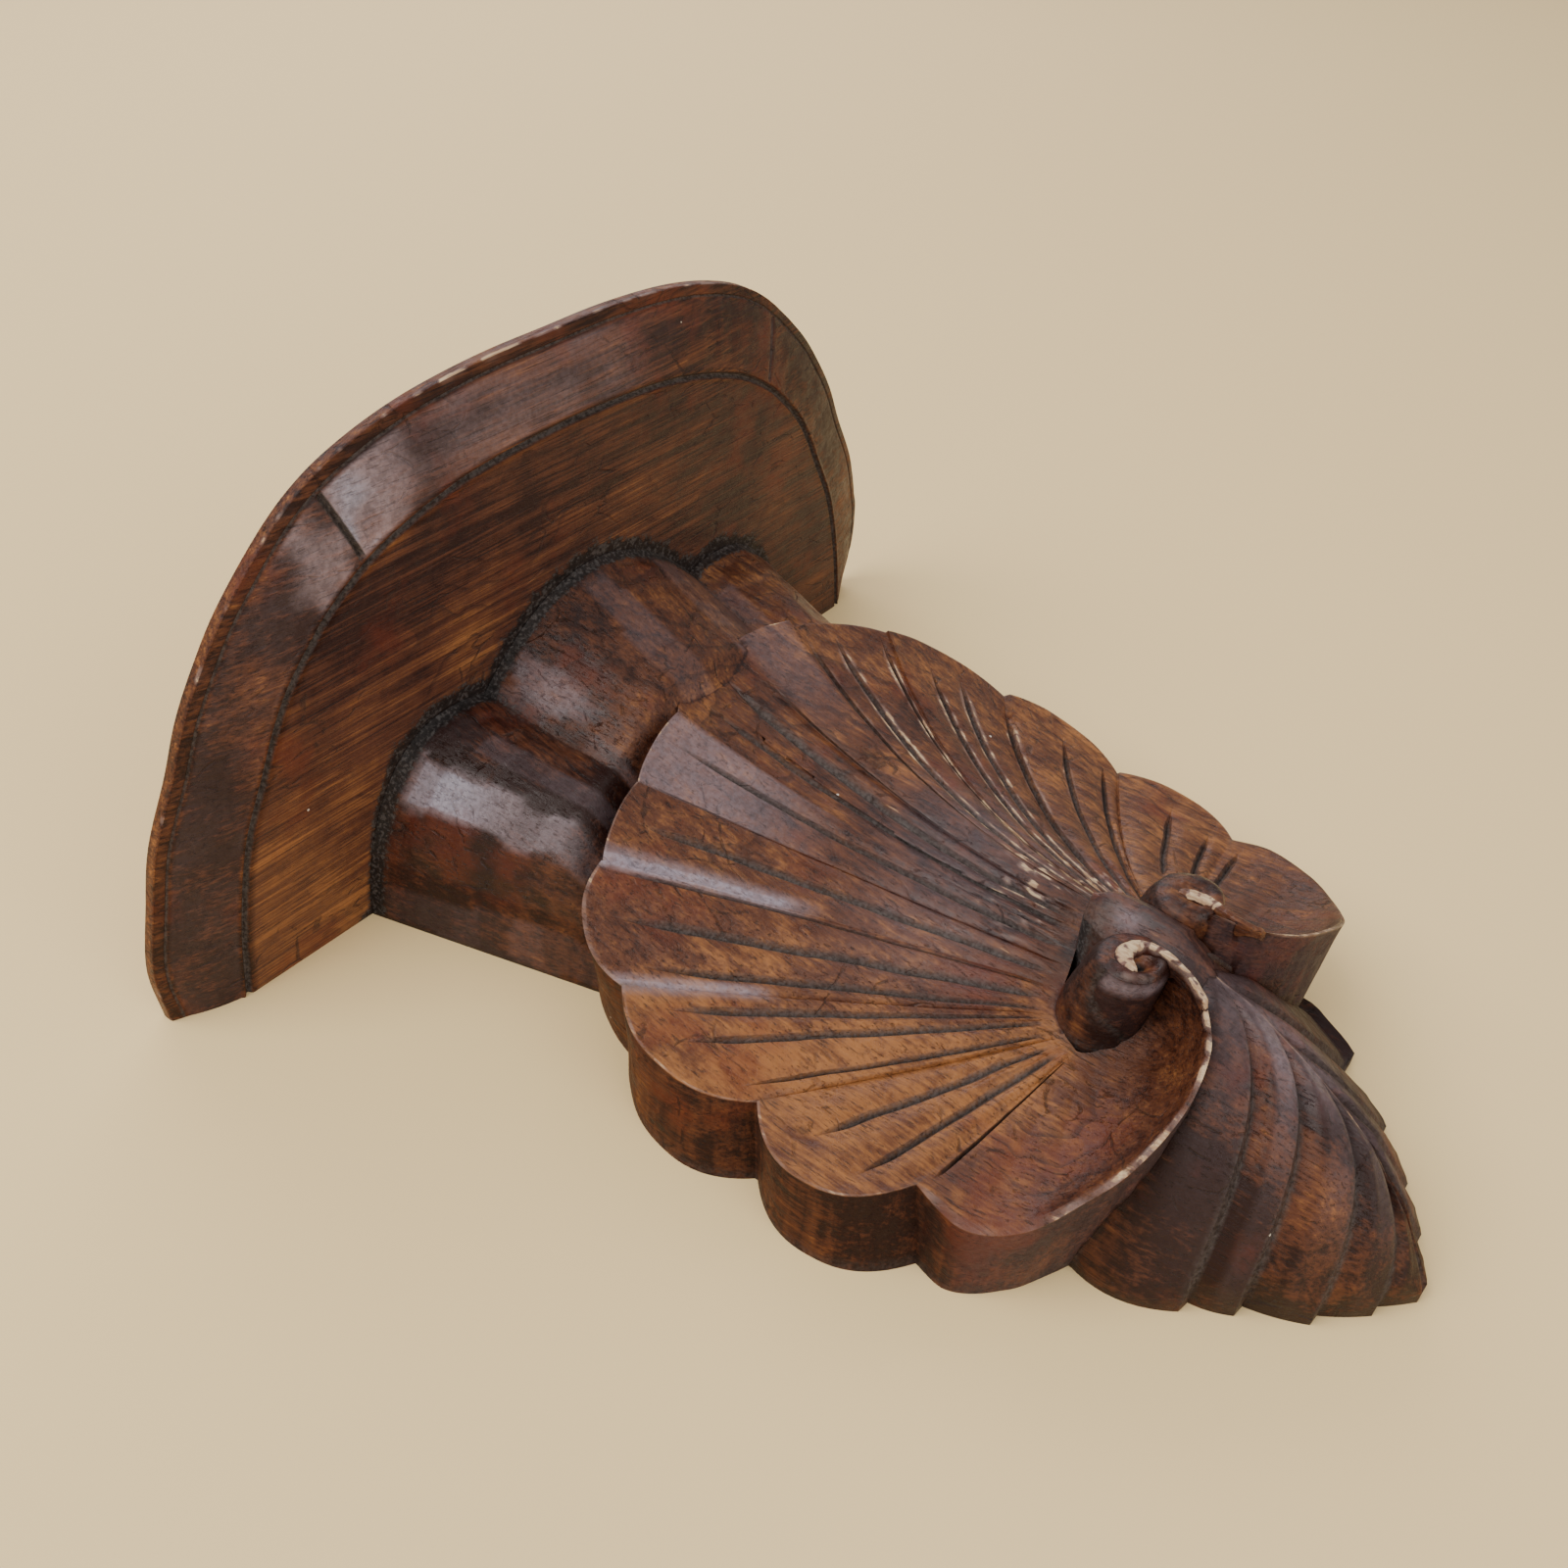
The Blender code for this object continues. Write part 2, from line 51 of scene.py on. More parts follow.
# board
SHELF_HALF = 163.0
SHELF_DEPTH = 159.5
SHELF_SHIFT = -4.0
SHELF_CORNER_IN = 8.0
SHELF_CORNER_HEIGHT = 36.0
SHELF_EDGE = 4.2
BAND_RISE = 8.0
BAND_HOLLOW = 0.7
BAND_FACET = 9.0
GROOVE_DEPTH = 1.5
GROOVE_HALF = 1.25
LINE_INSET = 3.4
LINE_DEPTH = 0.5
MITRE_DEPTH = 1.6
MITRE_HALF = 1.35
EDGE_ROUND = 0.6
EDGE_NICK = 0.55

# neck: the lobes' heights against the shelf, where a side lobe is highest, and its own falls
NECK_HALF = 99.5
NECK_HEIGHT = 84.0
NECK_FALL = 0.0118
NECK_CREASE = 0.475
SIDE_LOBE = 60.0
SIDE_HEIGHT = 60.0
SIDE_FALL = 2.5
SIDE_RUN = 12.8
NECK_LENGTH = 58.0
NECK_SIDE_LONGER = 30.0
NECK_WAIST = 63.0
NECK_SINK = 14.0
NECK_TAPER = 0.30
NECK_TAPER_RUN = 95.0
JOINT_GAP = 0.3

# fan, scrolls and leaf
FLUTE_DEPTH = 2.2
FLUTE_WIDEN = 1.1
RIB_CROWN = 0.75
RIM_LIP = 1.6
LEAF_STEP = 3.4
FAR_STEP = 1.35
LEAF_EDGE = 3.0
LEAF_START = -224.0
LEAF_TIP = -306.0
LEAF_HALF = 62.0
CREST_FRONT = -189.5
CREST_SINKS = -217.0
CREST_END = -236.0
LEAN = -10.0
LEAN_FROM = -200.0
LEAN_RUN = 106.0
SCROLL_TOP = 9.0

# half outlines of the field and of the edge, as shares of the shelf's half width and depth
FIELD_LINE = [
    (0.865, 0.0), (0.848, 0.13), (0.822, 0.253), (0.791, 0.353), (0.742, 0.454), (0.706, 0.530),
    (0.663, 0.599), (0.607, 0.662), (0.558, 0.707), (0.482, 0.757), (0.405, 0.789),
    (0.319, 0.814), (0.233, 0.830), (0.123, 0.839), (0.0, 0.843),
]
EDGE_LINE = [
    (0.994, 0.0), (1.0, 0.125), (0.970, 0.26), (0.938, 0.375), (0.880, 0.495), (0.838, 0.590),
    (0.786, 0.675), (0.722, 0.760), (0.620, 0.860), (0.535, 0.918), (0.442, 0.955),
    (0.340, 0.980), (0.240, 0.993), (0.125, 1.0), (0.0, 1.0),
]
# points of those outlines, counted from each end, where the mitre lines cross the band
MITRE_LEFT = 9
MITRE_RIGHT = 8
# the V-groove and the thin line across their widths: offset, share of the full depth
GROOVE_SECTION = [
    (-1.25, 0.0), (-1.0, 0.02), (-0.6, 0.5), (-0.2, 0.95), (0.1, 1.0), (0.5, 0.6), (1.0, 0.12), (1.3, 0.1),
]
LINE_SECTION = [(-0.55, 0.0), (-0.15, 0.9), (0.15, 1.0), (0.6, 0.1)]

# the fan, left to right round the heart: rim point, foot point, dish, bow, steepness, foot of wall
FAN = [
    ((-11.2, -220.5, 67), (-10, -216.5, 62), 0, 0, 1.5, (0, 1)),
    ((-15.2, -229.5, 65.5), (-12.5, -217.5, 50), 0.5, 0, 2.0, (0, 1)),
    ((-21.2, -235.8, 63.5), (-15, -217.8, 45), 1, 0, 2.2, (0, 2)),
    ((-28.8, -240.4, 60.5), (-18, -217, 42), 1, 0, 2.2, (0, 3)),
    ((-42, -242.5, 54), (-21, -215, 40), 2, 0, 2.2, (0, 5)),
    ((-57, -239.5, 44), (-24, -213, 38.5), 3, 0, 2.0, (0, 6)),
    ((-70, -233, 36.5), (-26.5, -211.5, 37.5), 4, 0, 1.8, (1, 4)),
    ((-82, -225, 31), (-28, -210, 37), 4, 0, 1.6, (2.5, 2)),
    ((-89, -212.5, 28.5), (-28.8, -208.5, 36.5), 4, 0, 1.4, (0, 0.5)),
    ((-85.5, -196.5, 27.5), (-29.2, -207, 36.5), 4, 1, 1.2, (-2.5, -5)),
    ((-91.5, -149.5, 27), (-27.2, -202.3, 37), 4, 2, 1.0, (-3.5, -4.5)),
    ((-91.5, -101, 36), (-23.3, -197.8, 38.5), 4, 3, 1.0, (4.5, 1)),
    ((-71, -74, 50), (-17.1, -194.4, 41), 5, 6, 1.0, (-3, 0)),
    ((-45, -63, 56), (-10.6, -192.5, 43), 7, 6, 1.0, (0, 0)),
    ((-17, -54, 61), (-3.2, -190, 45.5), 8, 2, 1.0, (0, 0)),
    ((20, -41, 60.5), (4.6, -188.1, 47.5), 8, 1, 1.0, (0, 0)),
    ((42, -49, 62), (10.9, -188.3, 48.5), 8, 5, 1.0, (0, 0)),
    ((70, -69, 54), (17.1, -190.4, 45), 8, 7, 1.0, (3, 0)),
    ((90, -107, 36), (23.3, -195, 41.5), 6, 6, 1.0, (-4.5, 1)),
    ((91.5, -152, 27), (27.2, -200, 38.5), 4, 3, 1.0, (3.5, -4.5)),
    ((87.5, -196, 26.5), (29.2, -206, 37.5), 4, 1, 1.2, (2.5, -5)),
    ((89.5, -208, 28), (28.8, -208.5, 37.5), 4, 0, 1.4, (1, -1)),
    ((83, -223, 31.5), (28, -210, 37.5), 4, 0, 1.6, (-2, 2)),
    ((72, -234, 36.5), (26.5, -211.5, 38), 4, 0, 1.8, (-1, 4)),
    ((58, -242, 44), (24, -213, 38.5), 3, 0, 2.0, (0, 6)),
    ((42, -243.5, 54), (21, -215, 40), 2, 0, 2.2, (0, 3)),
    ((28, -241, 60.5), (18, -217, 42), 1, 0, 2.2, (0, 3)),
    ((20, -236.5, 63.5), (15, -217.8, 45), 1, 0, 2.2, (0, 2)),
    ((14, -230, 65.5), (12.5, -217.5, 50), 0.5, 0, 2.0, (0, 1)),
    ((10.5, -220.5, 67), (10, -216.5, 62), 0, 0, 1.5, (0, 1)),
]
LAST = len(FAN) - 1

# lobes of the rim, by the place where each begins: bulge, rise at its start and at its end, and how
# much further the foot of the wall bulges
LOBES = {
    9: (15, 0, 0, -2), 10: (11, -1, 0, 2.5), 11: (8, -1, 1, -6), 12: (2, -1, 1, 0), 13: (2, 0, 1.5, 0),
    14: (5, -2, 0, 0), 15: (2, 0, 1.5, 0), 16: (4, -1.5, 0, 0), 17: (5, 1, -1, -3),
    18: (6, 1, -1, 2), 19: (6.5, 0, 0, -1),
}
FIRST_STEP = min(LOBES)
LAST_STEP = max(LOBES) + 1
STEP_PLACES = np.arange(FIRST_STEP, LAST_STEP + 1.0)
NOTCHES = np.array([9.0, 10.0, 11.0, 18.0, 19.0, 20.0])
STEP_HALF = 0.008

# cut flutes: place round the fan, where the cut begins and ends, half width, how pale its edges are
FLUTES = [
    (8.82, 0.08, 0.93, 1.2, 0.0), (9.36, 0.06, 0.88, 1.3, 0.0), (9.75, 0.06, 0.86, 1.2, 0.0),
    (10.24, 0.05, 0.89, 1.1, 0.0), (10.67, 0.05, 0.91, 1.2, 0.0), (10.88, 0.05, 0.91, 1.3, 0.0),
    (11.2, 0.05, 0.91, 1.2, 0.0), (11.6, 0.04, 0.94, 1.2, 0.0), (11.95, 0.04, 0.97, 1.3, 0.0),
    (12.55, 0.04, 0.96, 1.2, 0.1), (13.04, 0.03, 0.98, 1.1, 0.1), (13.64, 0.03, 0.97, 0.9, 0.1),
    (14.38, 0.03, 0.94, 1.2, 0.2), (14.78, 0.03, 0.95, 1.6, 0.2), (15.1, 0.03, 0.86, 1.0, 0.2),
    (16.1, 0.03, 0.97, 1.3, 0.35), (16.42, 0.03, 0.97, 1.1, 0.9), (16.92, 0.03, 0.97, 1.2, 1.0),
    (17.28, 0.04, 0.92, 1.0, 0.8), (17.55, 0.04, 0.94, 1.2, 0.8), (17.97, 0.05, 0.95, 1.2, 0.5),
    (18.42, 0.05, 0.91, 1.1, 0.3), (18.82, 0.05, 0.93, 1.2, 0.0), (19.43, 0.4, 0.87, 1.2, 0.0),
    (19.81, 0.5, 0.87, 1.2, 0.0), (20.43, 0.5, 0.9, 1.2, 0.0),
]
FLUTE_COLUMNS = (-1.3, -1.0, -0.6, -0.25, 0.0, 0.25, 0.6, 1.0, 1.3)
NO_FLUTE = 9.0

# by place round the fan: width of the worn bevel at the rim, how bare it is worn, how golden a rib is
RIM_BEVEL = [
    (0, 1.3), (1, 2.1), (3, 2.3), (4.5, 2.3), (6, 2.6), (7.5, 3.8), (8.5, 2.8), (9, 0.8), (9.5, 1.0),
    (10.5, 0.8), (11.5, 1.6), (12.5, 0.6), (20, 0.7), (22, 1.0), (24, 1.5), (26, 1.9), (28, 1.8), (29, 1.3),
]
RIM_WEAR = [
    (0, 1.0), (3, 1.0), (4, 0.62), (8, 0.62), (9, 1.0), (20, 1.0), (21, 0.2), (24, 0.25),
    (27, 0.8), (29, 0.5),
]
RIB_GOLD = [
    (0, 0.4), (6, 0.45), (8.5, 0.62), (9, 0.88), (10.6, 0.86), (11.3, 0.6), (12.9, 0.5), (13.4, 0.35),
    (14, 0.38), (15, 0.3), (16.0, 0.4), (16.6, 0.44), (17.5, 0.6), (19.5, 0.6), (20.5, 0.45), (23, 0.35),
    (29, 0.3),
]
# painted sheen on facets of the fan: strength, where round the fan each sets in, is full, fades and
# ends, and where along the rib it sets in and is full
SHEEN_FACETS = [
    (0.58, 12.98, 13.06, 13.96, 14.0, 0.5, 0.85), (0.8, 11.93, 11.98, 12.12, 12.3, 0.5, 0.62),
    (0.75, 10.93, 11.0, 11.05, 11.16, 0.62, 0.7), (0.26, 15.05, 15.3, 15.9, 15.99, 0.6, 0.95),
]

# gouged facets across the neck, as shares of its half width
NECK_FACETS = (
    -1.0, -0.985, -0.95, -0.89, -0.78, -0.7, -0.62, -0.54, -NECK_CREASE, -0.43, -0.33, -0.22, -0.1,
    0.03, 0.14, 0.25, 0.36, NECK_CREASE, 0.56, 0.65, 0.74, 0.83, 0.9, 0.95, 0.985, 1.0,
)
# the two lit ones: from, to, how far down, brightness, how much of it is lost on the way, pointed ends
NECK_LIT = ((-0.89, -0.78, 0.9, 0.78, 0.34, False), (-0.43, -0.33, 0.62, 0.44, 0.0, True))
NECK_CHIP = 8.5

# ridge of the crest and leaf: distance below the shelf, height, half width of the leaf there
SPINE = [
    (190, 62.0, 0), (194, 64.5, 0), (205, 66.5, 0), (215, 66.0, 0), (222, 64.0, 62),
    (231, 60.0, 62), (243, 56.0, 60), (255, 51.5, 54.5), (263, 48.0, 49), (272, 43.5, 43),
    (280, 38.5, 37), (288, 30.0, 28.5), (294, 23.0, 21.5), (300, 13.0, 13), (306, 3.5, 1.5),
]
# crest between the scrolls: distance below the shelf, half width, drop at its sides, how far its top
# lies under the ridge, shift
CREST = [
    (189.5, 3.5, 6.0, 0, 0.5), (190.5, 5.5, 6.0, 0, 0.6), (193.0, 7.5, 6.5, 0, 0.9),
    (198, 9.5, 8.0, 0, 1.2),
    (206, 10.5, 9.0, 0, 0.8), (212, 11.2, 8.4, 0, 0.3), (216, 11.5, 7.6, 0, 0), (220, 12.1, 6.0, 0.1, 0),
    (224, 13.0, 3.4, 0.5, 0), (229, 15.5, 1.8, 2.0, 0), (236, 21.0, 1.0, 5.0, 0),
]

# leaf blades on each side: ridge end, notch left by the blade before, tip (across from the ridge,
# along), swell of the edge between them
BLADES = {
    -1: [
        (-229, (59.5, -232), (50, -260.2), 4.0), (-246, (46, -260.8), (40.5, -271.6), 0.7),
        (-262, (36.5, -272), (28.2, -287.6), 0.7), (-278, (24.5, -287.8), (14, -298.6), 0.5),
        (-292, (10.5, -298.6), (1.5, LEAF_TIP), 0.3),
    ],
    1: [
        (-229, (70, -229), (57, -259.5), 0.5), (-246, (47, -260.0), (39.5, -277.5), 1.6),
        (-262, (30.5, -277.6), (26.5, -289.8), 1.4), (-278, (18.5, -290.0), (14, -299), 1.0),
        (-292, (8.0, -299.1), (1.5, LEAF_TIP), 0.4),
    ],
}
LEAF_SECTION = {-1: 2.7, 1: 1.14}
LEAF_ROOT = [
    (0, -219), (7, -224), (15, -229), (25, -233), (38, -235), (50, -233), (56, -230),
    (59, -228), (61, -226),
]
# painted sheen of each blade of the leaf, from the root to the tip
BLADE_SHEEN = (0.5, 1.1, 0.95, 0.55, 0.0)

# scroll from its foot up and in over its top: height, radius, share of its lean
SCROLL = [
    (0.0, 13.2, 0.0), (30.0, 13.2, 0.0), (36.0, 13.0, 0.02), (40.0, 12.5, 0.1), (45.0, 11.9, 0.25),
    (50.0, 11.4, 0.42), (55.0, 11.0, 0.6), (59.0, 10.6, 0.76), (61.5, 10.2, 0.88), (63.2, 9.5, 0.96),
    (64.2, 8.4, 1.0), (64.8, 7.2, 1.0), (65.0, 5.8, 1.0), (65.0, 4.4, 1.0), (65.0, 3.2, 1.0),
    (65.0, 2.0, 1.0), (65.0, 0.9, 1.0), (65.0, 0.3, 1.0),
]
# bare edge from the scroll's top to the lip of the bowl on each side: point, half width
CURL = {
    -1: [
        (-20.0, -214.6, 64.4, 1.5), (-19.7, -211.4, 65.2, 2.5), (-18.0, -208.8, 65.6, 2.8),
        (-15.4, -207.9, 65.8, 2.3), (-13.0, -208.7, 66.0, 1.8), (-11.2, -210.6, 66.2, 1.6),
        (-10.4, -213.4, 66.5, 1.4), (-10.7, -217.0, 66.9, 1.2), (-12.0, -221.0, 67.2, 1.0),
        (-13.9, -225.5, 67.2, 1.0), (-16.2, -229.6, 66.5, 1.1), (-18.6, -233.2, 65.6, 1.2),
    ],
    1: [
        (-13.6, -206.6, 64.6, 0.9), (-14.4, -209.0, 65.4, 1.6), (-15.0, -211.5, 65.8, 2.1),
        (-15.2, -214.0, 66.0, 2.2), (-15.0, -216.5, 66.2, 1.9), (-14.4, -219.0, 66.5, 1.6),
        (-13.6, -221.5, 66.8, 1.4), (-13.2, -225.0, 66.7, 1.2), (-13.8, -229.0, 66.1, 1.1),
        (-15.8, -232.4, 65.2, 1.1),
    ],
}
CURL_SECTION = [
    (-0.8, -13.0), (-1.0, -3.0), (-0.95, -1.0), (-0.7, -0.3), (-0.3, 0.0),
    (0.3, 0.0), (0.7, -0.3), (0.95, -1.0), (1.0, -3.0), (0.8, -13.0),
]
CURL_BARE = np.array([0, 0, 0.5, 1, 1, 1, 1, 0.5, 0, 0.0])

# marks that every point carries for the wood: dirt in a cut with painted shade in some recesses, worn bare,
# golden, painted sheen, grime at the board, steep side
MARKS = ("stain", "bare", "gold", "bloom", "seam", "wall")

# colours
DARK = (0.020, 0.0062, 0.0046)
MIDDLE = (0.094, 0.0305, 0.0138)
LIGHT = (0.32, 0.128, 0.039)
RED = (0.135, 0.024, 0.009)
PORE = (0.012, 0.007, 0.006)
CRACK = (0.012, 0.006, 0.005)
# palest, bluish colour of the painted sheen
BRIGHT_SHEEN = (0.43, 0.405, 0.50)
# dirt in the cuts, also used as painted shade on the crest's front, a scroll side and the leaf's steps
DIRT_AND_SHADE_TONES = ((0.034, 0.026, 0.023), (0.088, 0.071, 0.066))
GRIME = ((0.010, 0.008, 0.008), (0.065, 0.058, 0.057))
BARE_WOOD = ((0.66, 0.50, 0.31), (0.42, 0.26, 0.15))
HALF_WORN = (0.30, 0.20, 0.17)
SPECK = (0.70, 0.64, 0.56)
TABLE = ((0.92, 0.69, 0.35), (0.95, 0.72, 0.375))
WARM_LIGHT = (1.0, 0.97, 0.93)
WINDOW_LIGHT = (0.93, 0.91, 1.0)

CAMERA_PLACE = (-0.29665, -0.15644, 0.35536)
CAMERA_TURN = (49.5136, -2.8142, -50.5761)


def lerp(a, b, u):
    return a + (b - a) * u


def smooth(a, b, x):
    u = np.clip((x - a) / (b - a), 0.0, 1.0)
    return u * u * (3 - 2 * u)


def bump(x, centre, half):
    """1 at the centre, 0 half away from it"""
    return 1 - smooth(0.0, half, np.abs(x - centre))


def arch(u):
    """0 at both ends and 1 in the middle"""
    return 4 * u * (1 - u)


def read(table, at, column=1):
    """a table's column at a place along its first column"""
    return np.interp(at, [row[0] for row in table], [row[column] for row in table])


def between_rows(table, n):
    """all columns of a table at place n, counted in rows"""
    return [np.interp(n, range(len(table)), column) for column in np.array(table, float).T]


def cell(i, j, k):
    """one steady random number in 0..1 for each cell"""
    h = np.sin(i * 127.1 + j * 311.7 + k * 74.7) * 43758.5453
    return h - np.floor(h)


def noise(x, y, z=0.0):
    """smooth random field in -1..1"""
    x, y, z = np.broadcast_arrays(x, y, z)
    i, j, k = np.floor(x), np.floor(y), np.floor(z)
    u, v, w = x - i, y - j, z - k
    u, v, w = (a * a * (3 - 2 * a) for a in (u, v, w))
    value = 0.0
    for di in (0, 1):
        for dj in (0, 1):
            for dk in (0, 1):
                share = (u if di else 1 - u) * (v if dj else 1 - v) * (w if dk else 1 - w)
                value = value + share * cell(i + di, j + dj, k + dk)
    return value * 2 - 1


def place(x, y, z):
    """millimetres of the carving to metres in the shared frame"""
    x, y, z = np.broadcast_arrays(x, y, z)
    return np.stack([x, y + SHELF_UNDERSIDE, z], -1) * MM


def eased(p, q, r, s, u):
    """smooth way from q to r, with p before them and s after them"""
    second = 2 * p - 5 * q + 4 * r - s
    third = 3 * q - p - 3 * r + s
    return 0.5 * (2 * q + (r - p) * u + second * u ** 2 + third * u ** 3)


# shells


class Shell:
    """rows of points that each close on themselves, with the marks of every point"""

    def __init__(self):
        self.rows = []
        self.marks = {m: [] for m in MARKS}

    def add(self, points, **marks):
        self.rows.append(points)
        for m in MARKS:
            self.marks[m].append(np.broadcast_to(np.asarray(marks.get(m, 0.0), float), len(points)))

    def solid(self, name):
        """closed solid through the rows, its two ends filled"""
        points = np.array(self.rows)
        rows, count = points.shape[:2]
        bm = bmesh.new()
        bmesh.ops.create_grid(bm, x_segments=count, y_segments=rows - 1, size=1.0)
        bm.verts.ensure_lookup_table()
        wrap = np.concatenate([points, points[:, :1]], 1).reshape(-1, 3).tolist()
        for v, p in zip(bm.verts, wrap):
            v.co = p
        for m in MARKS:
            layer = bm.verts.layers.float.new(m)
            grid = np.array(self.marks[m])
            values = np.clip(np.concatenate([grid, grid[:, :1]], 1).reshape(-1), 0, 1).tolist()
            for v, value in zip(bm.verts, values):
                v[layer] = value
        bmesh.ops.remove_doubles(bm, verts=bm.verts, dist=2e-7)
        bmesh.ops.holes_fill(bm, edges=[e for e in bm.edges if e.is_boundary], sides=0)
        bmesh.ops.triangulate(bm, faces=[f for f in bm.faces if len(f.verts) > 4])
        bmesh.ops.recalc_face_normals(bm, faces=bm.faces)
        if bm.calc_volume(signed=True) < 0:
            bmesh.ops.reverse_faces(bm, faces=bm.faces)
        return linked(name, bm)


def linked(name, bm):
    mesh = bpy.data.meshes.new(name)
    bm.to_mesh(mesh)
    bm.free()
    piece = bpy.data.objects.new(name, mesh)
    bpy.context.scene.collection.objects.link(piece)
    return piece


def join_solids(name, pieces):
    """one solid from several that run into each other"""
    base = pieces[0]
    for other in pieces[1:]:
        cut = base.modifiers.new("join", "BOOLEAN")
        cut.operation = "UNION"
        cut.solver = "MANIFOLD"
        cut.object = other
        graph = bpy.context.evaluated_depsgraph_get()
        graph.update()
        mesh = bpy.data.meshes.new_from_object(base.evaluated_get(graph))
        base.modifiers.clear()
        old = base.data
        base.data = mesh
        bpy.data.meshes.remove(old)
        bpy.data.objects.remove(other)
    base.name = name
    base.data.name = name
    return base


# fan


def fan_column(i, u):
    """rim, foot, dish, bow, steepness, rise and foot of wall at share u of the way from place i on"""
    a = FAN[i]
    b = FAN[i + 1]
    ends = [np.array(a[n], float) for n in (0, 1)], [np.array(b[n], float) for n in (0, 1)]
    rise = 0.0
    wall = [lerp(p, q, u) for p, q in zip(a[5], b[5])]
    if i in LOBES:
        bulge, start, end, flare = LOBES[i]
        dx = b[0][0] - a[0][0]
        dy = b[0][1] - a[0][1]
        n = math.hypot(dx, dy)
        swell = 1 - abs(2 * u - 1) ** 2.4
        rim, foot = (lerp(p, q, u) for p, q in zip(*ends))
        rim += np.array([-dy, dx, 0.0]) / n * bulge * swell
        rise = lerp(start, end, u)
        wall[0] -= dy / n * flare * swell
        wall[1] += dx / n * flare * swell
    else:
        before = FAN[i if i - 1 in LOBES else max(i - 1, 0)]
        after = FAN[i + 1 if i + 1 in LOBES else min(i + 2, LAST)]
        rim, foot = (
            eased(np.array(before[n]), ends[0][n], ends[1][n], np.array(after[n]), u) for n in (0, 1)
        )
    dish, bow, steep = (lerp(a[n], b[n], u) for n in (2, 3, 4))
    return [*rim, *foot, dish, bow, steep, rise, *wall]


def fan_samples():
    """the fan's columns at close places, with both sides of each step between two lobes"""
    places = []
    rows = []
    for i in range(LAST):
        first = STEP_HALF if i > 0 else 0.0
        last = 1 - STEP_HALF if i < LAST - 1 else 1.0
        for u in np.linspace(first, last, 41):
            places.append(i + u)
            rows.append(fan_column(i, float(u)))
    return np.array(places), np.array(rows)


FAN_T, FAN_ROWS = fan_samples()


def fan_at(t):
    return [np.interp(t, FAN_T, FAN_ROWS[:, k]) for k in range(FAN_ROWS.shape[1])]


def fan_surface(t, s):
    """the fan without its flutes at place t round it and share s from heart to rim"""
    rx, ry, rz, fx, fy, fz, dish, bow, steep, rise, _, _ = fan_at(t)
    dx = rx - fx
    dy = ry - fy
    n = np.hypot(dx, dy) + 1e-9
    aside = bow * arch(s) * np.where(dy / n * rx > 0, -1.0, 1.0)
    z = fz + (rz - fz) * s ** steep - dish * arch(s) + rise * s
    return fx + dx * s + dy / n * aside, fy + dy * s - dx / n * aside, z


def fan_features():
    """flutes and steps in order round the fan, each with its columns as offsets in half widths"""
    features = [(*flute, FLUTE_COLUMNS) for flute in FLUTES]
    for t in STEP_PLACES:
        if min(abs(t - flute[0]) for flute in FLUTES) > 0.035:
            features.append((float(t), 0, 0, 0.0, 0.0, (-1.0, 0.0, 1.0)))
    return sorted(features)


ALONG = np.concatenate([np.linspace(0, 0.86, 58), np.linspace(0.86, 1.0, 16)[1:]])
BEVEL = np.array([0.3, 0.65, 1.0])
WALL = np.array([0.02, 0.06, 0.14, 0.26, 0.4, 0.55, 0.7, 0.84, 0.95, 1.0])
BOWL_SPAN = 170.0
COLUMN_GAP = 2.1


def fan_columns():
    """place of each column at each share of the way to the rim, and its flute's offset and values"""
    features = fan_features()
    gaps = np.diff([f[0] for f in features])
    left = np.concatenate([[0.6], gaps])
    right = np.concatenate([gaps, [0.6]])
    blocks = []
    for n, (t, start, end, half, pale, offsets) in enumerate(features):
        a = fan_surface(np.full_like(ALONG, t - 0.05), ALONG)
        b = fan_surface(np.full_like(ALONG, t + 0.05), ALONG)
        spacing = np.hypot(a[0] - b[0], a[1] - b[1]) / 0.1
        if half:
            taper = smooth(start - 0.02, start + 0.05, ALONG) * (1 - smooth(end - 0.13, end + 0.02, ALONG))
            wide = FLUTE_WIDEN * half * (0.25 + 0.75 * taper) / spacing
            wide = np.minimum(wide, 0.29 * min(left[n], right[n]))
            drift = 0.3 * wide * noise(ALONG * 9, t * 7.3)
        else:
            wide = np.full_like(ALONG, STEP_HALF)
            taper = np.zeros_like(ALONG)
            drift = 0.0
        blocks.append((t + drift, wide, taper, pale, offsets, half))
    plain = np.zeros_like(ALONG)
    columns = [(plain, plain, 0.0, NO_FLUTE, 0.0)]

    def fill(a, b, span):
        count = max(2, int(span / COLUMN_GAP))
        for k in range(1, count + 1):
            share = k / (count + 1)
            columns.append((lerp(a, b, share), plain, 0.0, NO_FLUTE, share))

    edge = plain
    for n, (t, wide, taper, pale, offsets, half) in enumerate(blocks):
        start = t + offsets[0] * wide
        rim = fan_surface(np.array([edge[-1], start[-1]]), np.ones(2))
        span = np.hypot(rim[0][1] - rim[0][0], rim[1][1] - rim[1][0])
        fill(edge, start, span if n else BOWL_SPAN)
        for off in offsets:
            columns.append((t + off * wide, taper, pale, off if half else NO_FLUTE, 0.0))
        edge = t + offsets[-1] * wide
    end = np.full_like(ALONG, float(LAST))
    fill(edge, end, BOWL_SPAN)
    columns.append((end, plain, 0.0, NO_FLUTE, 0.0))
    return columns


